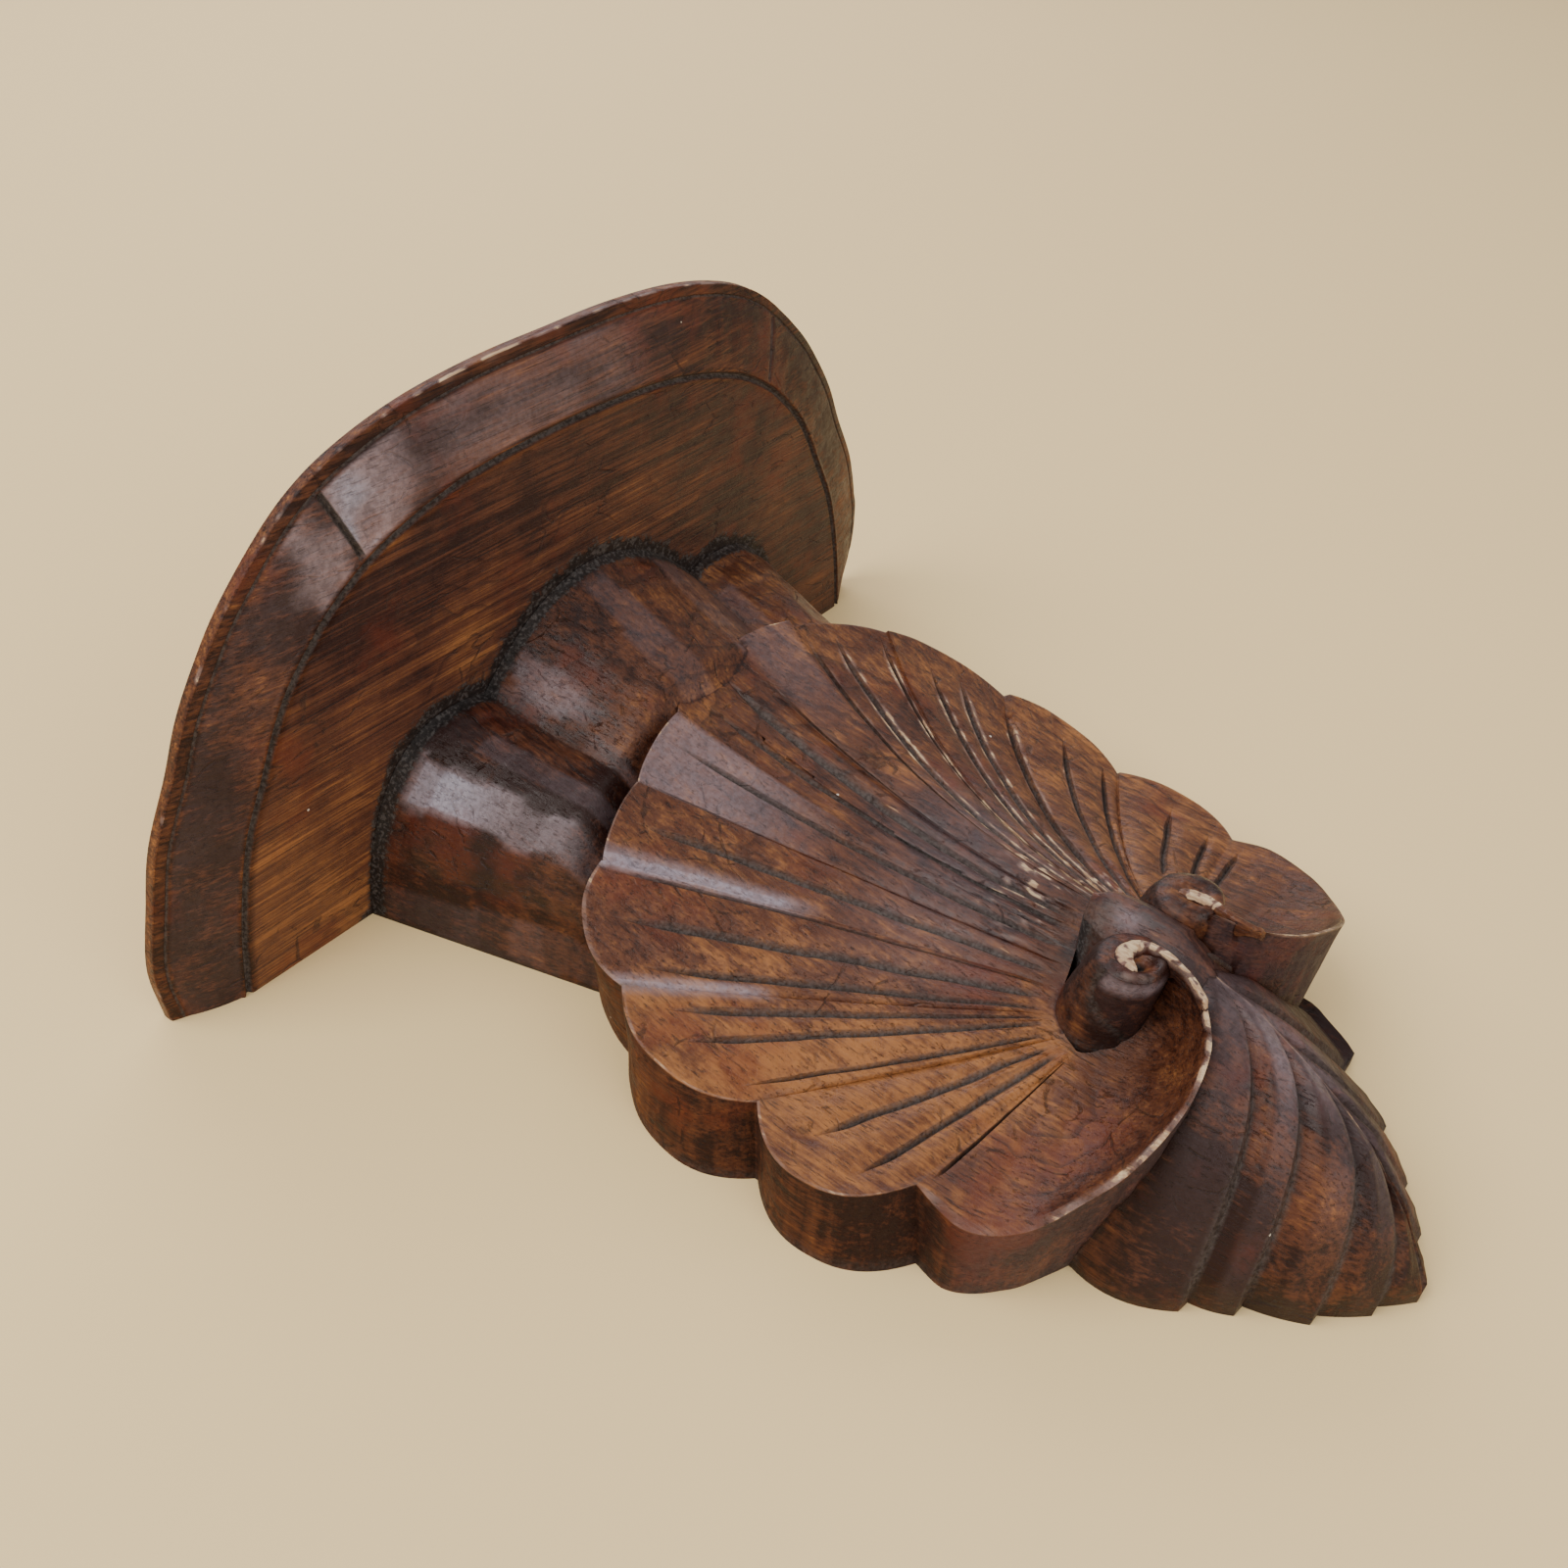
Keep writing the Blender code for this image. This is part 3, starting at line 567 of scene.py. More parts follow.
def fan_height(x, y, z, t, s, taper, off, between, bevel, inner):
    """height with the worn bevel, flutes, crowned ribs, scooped bowls and tool marks"""
    lip = 1 - smooth(5.0, 7.5, t) + smooth(22.5, 24.5, t)
    flat = lerp(fan_surface(t, s * 0 + 1)[2], z, 0.25) - 0.5 * bevel ** 3
    z = np.where(bevel > 0, lerp(z - read(RIM_BEVEL, t) * 0.28 * bevel ** 1.3, flat, lip), z)
    z = z + lip * RIM_LIP * smooth(0.9, 1.0, s / inner) * (bevel == 0)
    cut = FLUTE_DEPTH * taper * (0.45 + 0.55 * s) * np.clip(1 - abs(off), 0, 1) ** 0.85
    if abs(off) == FLUTE_COLUMNS[-1]:
        cut = cut - 0.06 * taper
    crown = 0.0
    if 0 < between < 1 and FIRST_STEP < t[-1] < LAST_STEP:
        crown = RIB_CROWN * (1 - (2 * between - 1) ** 2) * smooth(0, 0.1, s) * (1 - smooth(0.75, 1.0, s))
    rough = 0.16 * noise(x / 9, y / 14, 3.0) + 0.08 * noise(x / 3.5, y / 6, 7.0)
    scoop = np.abs(np.sin(math.pi * (t * 0.85 + 0.5 * s))) - 0.6
    bowl = 1 - smooth(8.2, 8.7, t) + smooth(20.6, 21.2, t)
    bowl = bowl * smooth(0.12, 0.3, s) * (1 - smooth(0.8, 0.95, s))
    return z - cut + crown + rough * smooth(0.0, 0.06, s) + 0.35 * scoop * bowl


def fan_wall(t, edge, column):
    """side of the fan from the rim's edge down to the back, with shallow gouge facets"""
    out_x = column[0] - column[3]
    out_y = column[1] - column[4]
    n = math.hypot(out_x, out_y)
    facet = 0.45 * noise(t * 7.0, WALL * 2.2, 5.0) * smooth(0, 0.12, np.abs(t - STEP_PLACES).min())
    facet = facet * smooth(0, 0.1, WALL) * (1 - smooth(0.9, 1.0, WALL))
    x = edge[0] + column[10] * WALL + out_x / n * facet
    y = edge[1] + column[11] * WALL + out_y / n * facet
    return place(x, y, edge[2] * (1 - WALL))


def fan_wear(x, y, t, s, taper, pale, off, bevel):
    """dirt, bare wood, gold and painted sheen over the fan"""
    gold = read(RIB_GOLD, t)
    gold = gold * (0.72 + 0.28 * smooth(0.1, 0.5, s)) + 0.1 * (1 - smooth(0.1, 0.35, s))
    # painted sheen on single facets and on a band across the ribs near the heart
    bloom = sum(
        strength * smooth(first, full, t) * (1 - smooth(fades, ends, t)) * smooth(low, high, s)
        for strength, first, full, fades, ends, low, high in SHEEN_FACETS
    )
    bloom = bloom + 0.18 * bump(s, 0.3, 0.3) * smooth(10.5, 12.5, t) * (1 - smooth(16.5, 18, t))
    stain = taper * np.clip(1.15 - abs(off), 0, 1) ** 0.6 + 0.3 * (1 - smooth(0.0, 0.05, s))
    notch = np.abs(t[-1] - NOTCHES).min()
    stain = stain + 0.5 * (1 - smooth(0.0, 0.05, notch)) * smooth(0.9, 1.0, s)
    bare = taper * pale * bump(abs(off), 1.2, 0.5) * (0.6 + 0.6 * noise(x / 3.5, y / 3.5, 2.0))
    heart = bump(s, 0.14, 0.14) * smooth(12.2, 14.5, t) * (1 - smooth(18.0, 18.8, t))
    fleck = smooth(0.1, 0.6, noise(x / 0.9, y / 3.0, 5.0))
    bare = bare + 0.6 * heart * fleck * (1 - np.clip(1.3 - abs(off), 0, 1))
    lip = 1 - smooth(5.0, 7.5, t) + smooth(22.5, 24.5, t)
    worn = smooth(0.0, 0.3, bevel) * lerp(0.4, 1.0, lip) * read(RIM_WEAR, t[-1])
    worn = worn * (0.62 + 0.6 * noise(x / 2.6, y / 2.6, 9.0))
    return stain, bare * 1.1 + worn, gold, bloom


def build_fan():
    shell = Shell()
    bevel = np.concatenate([np.zeros(len(ALONG)), BEVEL])
    for places, taper, pale, off, between in fan_columns():
        rim_t = places[-1]
        column = fan_at(rim_t)
        length = np.hypot(column[0] - column[3], column[1] - column[4])
        inner = 1 - read(RIM_BEVEL, rim_t) / length
        s = np.concatenate([ALONG * inner, lerp(inner, 1.0, BEVEL)])
        t = np.concatenate([places, np.full(len(BEVEL), rim_t)])
        taper = np.concatenate([taper, np.zeros(len(BEVEL))])
        x, y, z = fan_surface(t, s)
        z = fan_height(x, y, z, t, s, taper, off, between, bevel, inner)
        wall = fan_wall(rim_t, (x[-1], y[-1], z[-1]), column)
        stain, bare, gold, bloom = fan_wear(x, y, t, s, taper, pale, off, bevel)
        # painted shade on the walls below the two bowls: less golden, and greyed with a little painted
        # sheen
        shaded = smooth(20.5, 21.5, rim_t) + 1 - smooth(7.4, 8.4, rim_t)
        side = np.ones(len(WALL))
        shell.add(
            np.concatenate([place([x[0]], [y[0]], [0.0]), place(x, y, z), wall]),
            stain=np.concatenate([[1.0], stain, 0.05 + 0.3 * (WALL > 0.9)]),
            bare=np.concatenate([[0.0], bare, 0 * side]),
            gold=np.concatenate([[0.2], gold, (0.3 - 0.18 * shaded) * side]),
            bloom=np.concatenate([[0.0], bloom, 0.16 * shaded * side]),
            wall=np.concatenate([[0.0], 0 * s, side]),
        )
    return shell.solid("fan")


# neck


def neck_share(r):
    """outline of the neck against the shelf, share of its height at share r of its half width"""
    x = np.abs(r) * NECK_HALF
    middle = NECK_HEIGHT - NECK_FALL * x * x
    reach = NECK_HALF - SIDE_LOBE
    side = SIDE_HEIGHT * (1 - (np.clip(x - SIDE_LOBE, 0, reach) / reach) ** 2.4) ** (1 / 1.8)
    side = np.where(x < SIDE_LOBE, SIDE_HEIGHT - SIDE_FALL * ((SIDE_LOBE - x) / SIDE_RUN) ** 2, side)
    return np.where(np.abs(r) <= NECK_CREASE, middle, side) / NECK_HEIGHT


def neck_point(r, v):
    """point of the neck at share r of its half width and share v of the way down under the fan"""
    flare = (1 - v) ** 1.4
    y = -JOINT_GAP - (NECK_LENGTH + NECK_SIDE_LONGER * r ** 2) * v
    width = NECK_HALF * (1 - NECK_TAPER + NECK_TAPER * (1 + y / NECK_TAPER_RUN))
    share = neck_share(r)
    z = lerp(NECK_WAIST * share ** 0.72, NECK_HEIGHT * share, flare)
    z = z - NECK_SINK * np.clip((v - 0.76) / 0.24, 0, 1)
    return r * width, y, np.maximum(z, 2.0)


def neck_bloom(across, y, v, strip, chip):
    """painted sheen on single facets, and painted highlights on the two lit ones in rows of chips"""
    bloom = 0.25 * cell(strip, chip, 6.0) * (cell(strip, 7.0, 4.0) > 0.6)
    down = -y / NECK_CHIP + 0.3
    row = np.floor(down)
    shift = 0.016 * noise(-y / 11, 0.5, 8.0) + 0.016 * (cell(row, 2.0, 8.0) - 0.5)
    shade = lerp(cell(row, 4.0, 6.0), cell(row + 1, 4.0, 6.0), smooth(0.8, 1.0, down - row))
    for first, last, far, bright, loss, pointed in NECK_LIT:
        taper = math.sin(math.pi * min(v / far, 1.0)) ** 0.6 if pointed else 1.0
        reach = np.abs(across - (first + last) / 2 - shift) / ((last - first) / 2 * taper + 1e-6)
        lit = bright - loss * smooth(0.12, 0.6, v) + 0.26 * (shade - 0.3)
        bloom = lerp(bloom, lit * (1 - smooth(far - 0.25, far, v)), 1 - smooth(0.84, 1.08, reach))
    return bloom * smooth(0.04, 0.09, v)


def build_neck():
    creases = [-NECK_CREASE, NECK_CREASE]
    across = np.sort(np.concatenate([np.sin(np.linspace(-1, 1, 131) * math.pi / 2), creases]))
    kept = [0, NECK_FACETS.index(-NECK_CREASE), NECK_FACETS.index(NECK_CREASE), -1]
    shell = Shell()
    for v in np.concatenate([[0, 0.006, 0.015, 0.03], np.linspace(0.05, 1, 46)]):
        x, y, z = neck_point(across, v)
        move = 0.012 * noise(np.arange(len(NECK_FACETS)) * 1.7, v * 3.0, 11.0)
        move[kept] = 0
        stops = np.array(NECK_FACETS) + move
        flat = np.interp(across, stops, neck_point(stops, v)[2])
        strip = np.searchsorted(stops, across)
        depth = -y + 9 * cell(strip, 3.0, 0.0)
        long = 9.0 + 6.0 * cell(strip, 5.0, 1.0)
        chip = np.floor(depth / long)
        tilt = (cell(strip, chip, 2.0) - 0.5) * 0.19
        fade = smooth(0.0, 0.06, 1 - np.abs(across)) * smooth(0.0, 0.03, v)
        z = lerp(z, flat, fade) + fade * tilt * (depth / long - chip - 0.5) * long
        z = z + fade * (0.15 * noise(x / 6, y / 9, 1.0) - 0.5 * (1 - smooth(0.0, 0.05, v)))
        crease = bump(np.abs(across), NECK_CREASE, 0.035)
        gold = 0.2 + 0.18 * smooth(0.3, 0.9, v) + 0.16 * noise(x / 17, y / 17, 4.0)
        gold = gold + 0.03 * smooth(-0.4, 0.1, across) + 0.27 * smooth(0.3, 0.6, across)
        gold = gold - 0.06 * (across < -NECK_CREASE)
        back = place([x[-1], x[0]], [y[-1], y[0]], [0.0, 0.0])
        shell.add(
            np.concatenate([place(x, y, z), back]),
            stain=np.append(0.3 * crease * (1 - v), [0, 0]),
            gold=np.append(gold, [0, 0]),
            bloom=np.append(neck_bloom(across, y, v, strip, chip), [0, 0]),
            seam=np.append(1.0 - smooth(0.02, 0.075, v) + 0.5 * crease * (1 - v) ** 2, [0, 0]),
            wall=np.append(0.6 * (np.abs(across) > 0.97), [0, 0]),
        )
    return shell.solid("neck")


# crest, scrolls and leaf


def ridge_x(y):
    return LEAN * np.clip((LEAN_FROM - y) / LEAN_RUN, 0, None) ** 1.2


def leaf_height(x, y, side):
    top = read(SPINE, -y)
    half = np.maximum(read(SPINE, -y, 2), 1.5)
    r = np.clip(np.abs(x - ridge_x(y)) / half, 0, 1)
    return LEAF_EDGE + (top - LEAF_EDGE) * (1 - r ** LEAF_SECTION[side])


def bowl_grid():
    t = np.concatenate([np.linspace(0, FIRST_STEP, 220), np.linspace(LAST_STEP, LAST, 220)])[:, None]
    s = np.linspace(0, 0.97, 70)[None]
    t, s = np.broadcast_arrays(t, s)
    return [a.ravel() for a in fan_surface(t, s)]


BOWL_X, BOWL_Y, BOWL_Z = bowl_grid()


def bowl_over(x, y):
    """height of the bowls' surface over each place, high up where there is no bowl"""
    gap = (np.asarray(x)[:, None] - BOWL_X) ** 2 + (np.asarray(y)[:, None] - BOWL_Y) ** 2
    return np.where(gap.min(1) < 1.6 ** 2, BOWL_Z[gap.argmin(1)], 99.0)


def blade_line(start, end, v, side):
    """curve of a blade at share v of the way from the ridge to the leaf's edge"""
    x0 = ridge_x(start)
    x2 = ridge_x(end[1]) + side * end[0]
    x1 = lerp(x0, x2, 0.30)
    y1 = end[1] + (start - end[1]) * 0.10
    a, b, c = (1 - v) ** 2, 2 * v * (1 - v), v * v
    return a * x0 + b * x1 + c * x2, a * start + b * y1 + c * end[1]


def leaf_rows(side, out):
    """lines across one half of the leaf from its root to its tip, each with its share of its blade"""
    x = blade_line(LEAF_START - 0.2, BLADES[side][0][1], out, side)[0]
    y = read(LEAF_ROOT, np.abs(x))
    z = np.minimum(np.minimum(leaf_height(x, y, side), 58.0), bowl_over(x, y) - 2.5)
    low = np.minimum(lerp(50.0, 22.0, smooth(0.0, 7.0, np.abs(x))), z * 0.6)
    rows = [(x, y + 8, low, 0.0, 0), (x, y, z, 0.0, 0)]
    shares = np.concatenate([[0.0, 0.04], np.linspace(0.1, 0.9, 9), [0.95, 0.985, 1.0]])
    step = LEAF_STEP * (1.0 if side < 0 else FAR_STEP) * smooth(0.0, 0.25, out)
    before = LEAF_START
    for k, (start, notch, tip, swell) in enumerate(BLADES[side]):
        for q in shares if k else shares[1:]:
            end = (lerp(notch[0], tip[0], q) + swell * arch(q), lerp(notch[1], tip[1], q))
            x, y = blade_line(lerp(before, start, q) if q else before - 0.2, end, out, side)
            if k == 0:
                y = np.minimum(y, read(LEAF_ROOT, np.abs(x)) - 0.6 - 4.0 * q)
            profile = -0.58 + 0.98 * smooth(0.0, 0.5, q) + 0.06 * smooth(0.5, 0.9, q)
            profile = profile - 0.1 * smooth(0.9, 1, q)
            saddle = 2.6 * (1 - smooth(224, 242, -y)) * (1 - smooth(0.0, 0.35, out))
            z = leaf_height(x, y, side) + step * profile - saddle + 0.2 * noise(x / 7, y / 11, 6.0)
            z = z + 0.4 * bump(q, 0.45 + 0.06 * noise(out * 3, k * 5.0), 0.2) * smooth(0.1, 0.3, out)
            z = np.minimum(z, bowl_over(x, y) - 2.5)
            rows.append((x, y, np.maximum(z, LEAF_EDGE * 0.8), q, k))
        before = start
    tip_x = ridge_x(LEAF_TIP) + side * 0.4
    near_tip = LEAF_TIP + 6.0
    x = lerp(ridge_x(near_tip), tip_x, out)
    rows.append((x, lerp(near_tip, LEAF_TIP, out), lerp(13.0, 3.0, out), 1.0, 4))
    return rows


def build_leaf(side):
    """one half of the leaf: five stepped blades from the ridge to the edge"""
    out = np.linspace(0, 1, 44) ** 1.1
    back = [0, 0, 0]
    shell = Shell()
    for x, y, z, q, k in leaf_rows(side, out):
        x, y, z = np.broadcast_arrays(x, y, z)
        under = x[0] - side * 2.0
        tail = place([x[-1], under, under], [y[-1], y[0], y[0]], [0.0, 0.0, z[0] * 0.8])
        # painted shade along each step between blades: darkest at the foot of the step, lighter on the edge
        # above it
        stain = smooth(0.06, 0.3, out) * (0.85 * (1 - smooth(0.0, 0.09, q)) + 0.5 * smooth(0.97, 1.0, q))
        # painted sheen on the flatter outer part of each blade and near the ridge, weaker on the right half
        # and towards the edge
        bloom = 0.33 * smooth(0.42, 0.6, q) * (0.7 + 0.6 * noise(x / 12, y / 16, 8.0))
        bloom = bloom + 0.25 * (1 - smooth(0.1, 0.5, out))
        bloom = bloom * (1.0 if side < 0 else 0.8) * (1 - 0.7 * smooth(0.4, 0.9, out)) * BLADE_SHEEN[k]
        gold = 0.2 * bump(q, 0.22, 0.25) * (0.6 + 0.8 * noise(x / 9, y / 9, 7.0)) + (0.08 if k else 0.02)
        gold = gold + 0.3 * noise(x / 15, y / 20, 2.0) + 0.34 * smooth(0.5, 3.5, k) * smooth(0.3, 0.8, out)
        ridge = (1 - smooth(0.0, 0.03, out)) * (0.5 + 0.9 * noise(y / 3.5, 0.5, 1.0))
        shell.add(
            np.concatenate([place(x, y, z), tail]),
            stain=np.append(stain, back),
            bare=np.append(np.clip(ridge, 0, 1) * 0.5, back),
            gold=np.append(gold - 0.12 * (side > 0), back),
            bloom=np.append(bloom, back),
            wall=np.append(0.5 * out if side < 0 else 0.8 + 0 * out, back),
        )
    return shell.solid("leaf")


def build_crest():
    """ridge between the scrolls, from its upright front down into the leaf"""
    across = np.linspace(-1, 1, 30)
    shell = Shell()
    for y in np.linspace(CREST_FRONT, CREST_END, 44):
        half, drop, sink, shift = (read(CREST, -y, n) for n in (1, 2, 3, 4))
        top = read(SPINE, -y)
        x = ridge_x(y) + shift + half * across
        z = top - sink - drop * np.abs(across) ** 1.35 + 0.15 * noise(x / 4, y / 7, 2.0)
        if y < CREST_SINKS:
            z = np.minimum(z, bowl_over(x, y + 0 * x) - 2.0)
            power = np.where(x < ridge_x(y), LEAF_SECTION[-1], LEAF_SECTION[1])
            flank = LEAF_EDGE + (top - LEAF_EDGE) * (1 - (np.abs(x - ridge_x(y)) / LEAF_HALF) ** power)
            z = np.minimum(z, flank - 2.0 * smooth(CREST_SINKS, -226, y))
        # painted sheen on a patch of the left flank; painted shade on the front-left face, and darker
        # towards both sides
        pale = bump(across, -0.45, 0.4) * bump(y, -202, 8)
        front = (1 - smooth(-0.45, -0.15, across)) * (1 - smooth(196, 201, -y))
        shell.add(
            np.concatenate([place(x, y, z), place([x[-1], x[0]], [y, y], [0.0, 0.0])]),
            stain=np.append(0.35 * np.abs(across) ** 4 + 0.5 * front, [0.3, 0.3]),
            bare=np.append(0.3 * bump(across, 0, 0.12) * bump(y, -191, 4), [0, 0]),
            gold=np.append(0.28 + 0 * across, [0, 0]),
            bloom=np.append(0.1 + 0.55 * pale, [0, 0]),
            seam=np.append(0.9 * (np.abs(across) > 0.95) * bump(y, CREST_FRONT, 8), [0.3, 0.3]),
        )
    return shell.solid("crest")


def build_scroll(side):
    """rolled end of the rim: a leaning drum with a crease up its side and a hollow on top"""
    turn = np.linspace(0, 2 * math.pi, 81)[:-1]
    face = turn if side < 0 else (math.pi - turn) % (2 * math.pi)
    hollow = 1.0 if side < 0 else 0.3
    shell = Shell()
    for n in np.linspace(0, len(SCROLL) - 1, 60):
        height, radius, lean = between_rows(SCROLL, n)
        crease = math.radians(lerp(236, 158, smooth(39, 58, height)))
        gap = (face - crease + math.pi) % (2 * math.pi) - math.pi
        body = smooth(35.0, 41.0, height) * (n < SCROLL_TOP + 0.5)
        groove = np.clip(1 - np.abs(gap) / 0.13, 0, 1)
        front = smooth(0.0, 0.2, gap) * (1 - smooth(1.6, 2.2, gap))
        radius = radius - body * (1.1 * groove + 0.5 * front)
        facets = 6 * face / math.pi + 0.4 * noise(height / 9, side * 2.0)
        radius = radius + body * 0.35 * (np.abs(facets - np.floor(facets) - 0.5) - 0.25)
        radius = radius + 0.12 * noise(face * 4, height / 4, 5.0) * body
        x = -lerp(14.4, 15.6, lean) + radius * np.cos(face)
        y = lerp(-205.4, -210.8, lean) + radius * np.sin(face)
        top = smooth(SCROLL_TOP, SCROLL_TOP + 1.5, n)
        eye = hollow * (1 - smooth(1.5, 6.5, np.hypot(x + 15.6, y + 212.6)))
        pit = (side < 0) * (1 - smooth(0.5, 2.2, np.hypot(x + 16.0, y + 212.9)))
        z = height - top * (2.6 * eye + 2.0 * pit) + top * 0.09 * (-210 - y) + 0.12 * noise(x, y, 3.0) * top
        rim = top * (1 - smooth(1.2, 3.4, np.abs(np.hypot(x + 15.6, y + 211) - 8.6))) * (y < -211)
        rim = rim * (0.35 if side < 0 else 0.1) * (0.5 + 0.5 * noise(x / 1.5, y / 3, 3.0))
        scratch = smooth(0.55, 0.8, noise(face * 2.0 + height / 11, height / 0.9 + face * 3, 4.0))
        # darker towards the foot, in the crease and in the pit, with painted shade on the side of the
        # crease that faces the neck
        darkening = 0.4 * (1 - smooth(36, 43, height)) + groove * body + pit * top
        darkening = darkening + 0.3 * body * (gap < 0) * smooth(40, 50, height)
        gold = 0.2 + 0.6 * eye * top + 0.25 * top * smooth(-212, -207, y)
        shell.add(
            place(-side * x, y, z),
            stain=np.clip(darkening, 0, 1) * 0.8,
            bare=rim + 0.2 * front * body * scratch,
            gold=gold + 0.2 * noise(face * 3, height / 5, 2.0),
            # painted highlight in a band under the top edge on the front
            bloom=0.65 * bump(height, 61.0, 3.5) * front * (1 - top) + 0.06 * front * body,
            seam=0.35 * (1 - smooth(36.5, 39.0, height)) + 0.8 * pit * top,
            wall=0.5 * body,
        )
    return shell.solid("scroll")


def build_curl(side):
    """bare rounded edge that runs from the top of the scroll round it and down to the lip of the bowl"""
    path = np.stack(between_rows(CURL[side], np.linspace(0, len(CURL[side]) - 1, 90)), 1)
    for _ in range(6):
        path[1:-1] = (path[:-2] + 2 * path[1:-1] + path[2:]) / 4
    along = np.gradient(path[:, :2], axis=0)
    along /= np.hypot(*along.T)[:, None]
    across, drop = np.array(CURL_SECTION).T
    shell = Shell()
    for k, (x, y, z, half) in enumerate(path):
        end = smooth(0, 5, k) * smooth(0, 3, len(path) - 1 - k)
        wide = across * (half * (0.35 + 0.65 * end) + 0.2 * noise(k / 6.0, side * 3.0))
        deep = lerp(1.5, 0.4, smooth(50, 66, k)) * (1 - 0.75 * smooth(70, 86, k))
        sides = np.where(drop < -5, drop * deep, drop)
        sides = sides * np.where(sides < -0.5, 1.0, 0.8)
        z = z + sides + 0.12 * noise(k / 3.0, across * 3, 1.0) - 0.8 * (1 - end)
        chip = 0.72 + 0.8 * noise(k / 2.6, np.arange(len(drop)) * 0.9, 4.0)
        reach = 1.0 if side < 0 else smooth(10, 16, k) * (1 - smooth(46, 54, k)) + 0.12
        shell.add(
            place(-side * (x - along[k, 1] * wide), y + along[k, 0] * wide, z),
            stain=0.1 * (1 - CURL_BARE),
            bare=CURL_BARE * chip * reach,
            gold=0.5,
        )
    return shell.solid("curl")


# board


def whole(line):
    """both halves of an outline, left to right"""
    half = [(x * SHELF_HALF, z * SHELF_DEPTH) for x, z in line]
    return np.array([(-x, z) for x, z in half] + list(reversed(half[:-1])))


def outline(line, at):
    """smooth outline through a line's points at places counted in points, its ends on the wall"""
    last = len(line) - 1
    i = np.clip(np.floor(at).astype(int), 0, last - 1)
    q, r = line[i], line[i + 1]
    p = np.where((i == 0)[:, None], 2 * q - r, line[np.clip(i - 1, 0, last)])
    s = np.where((i == last - 1)[:, None], 2 * r - q, line[np.clip(i + 2, 0, last)])
    points = eased(p, q, r, s, (at - i)[:, None])
    points[0, 1] = 0.0
    points[-1, 1] = 0.0
    points[:, 1] = np.maximum(points[:, 1], 0.0)
    return points


def board_seam(x, z):
    """grime round the foot of the neck"""
    neck_x, _, neck_z = neck_point(np.linspace(-1, 1, 121), 0.0)
    top = np.interp(x, neck_x, neck_z, left=-40.0, right=-40.0)
    aside = np.maximum(np.abs(x) - NECK_HALF, 0)
    gap = np.hypot(aside, np.maximum(z - np.maximum(top, 0), 0)) * np.where(top > 0, 0.75, 1.0)
    return 1 - smooth(0.8, 5.4, gap + 1.2 * noise(x / 3.0, z / 3.0, 2.0))


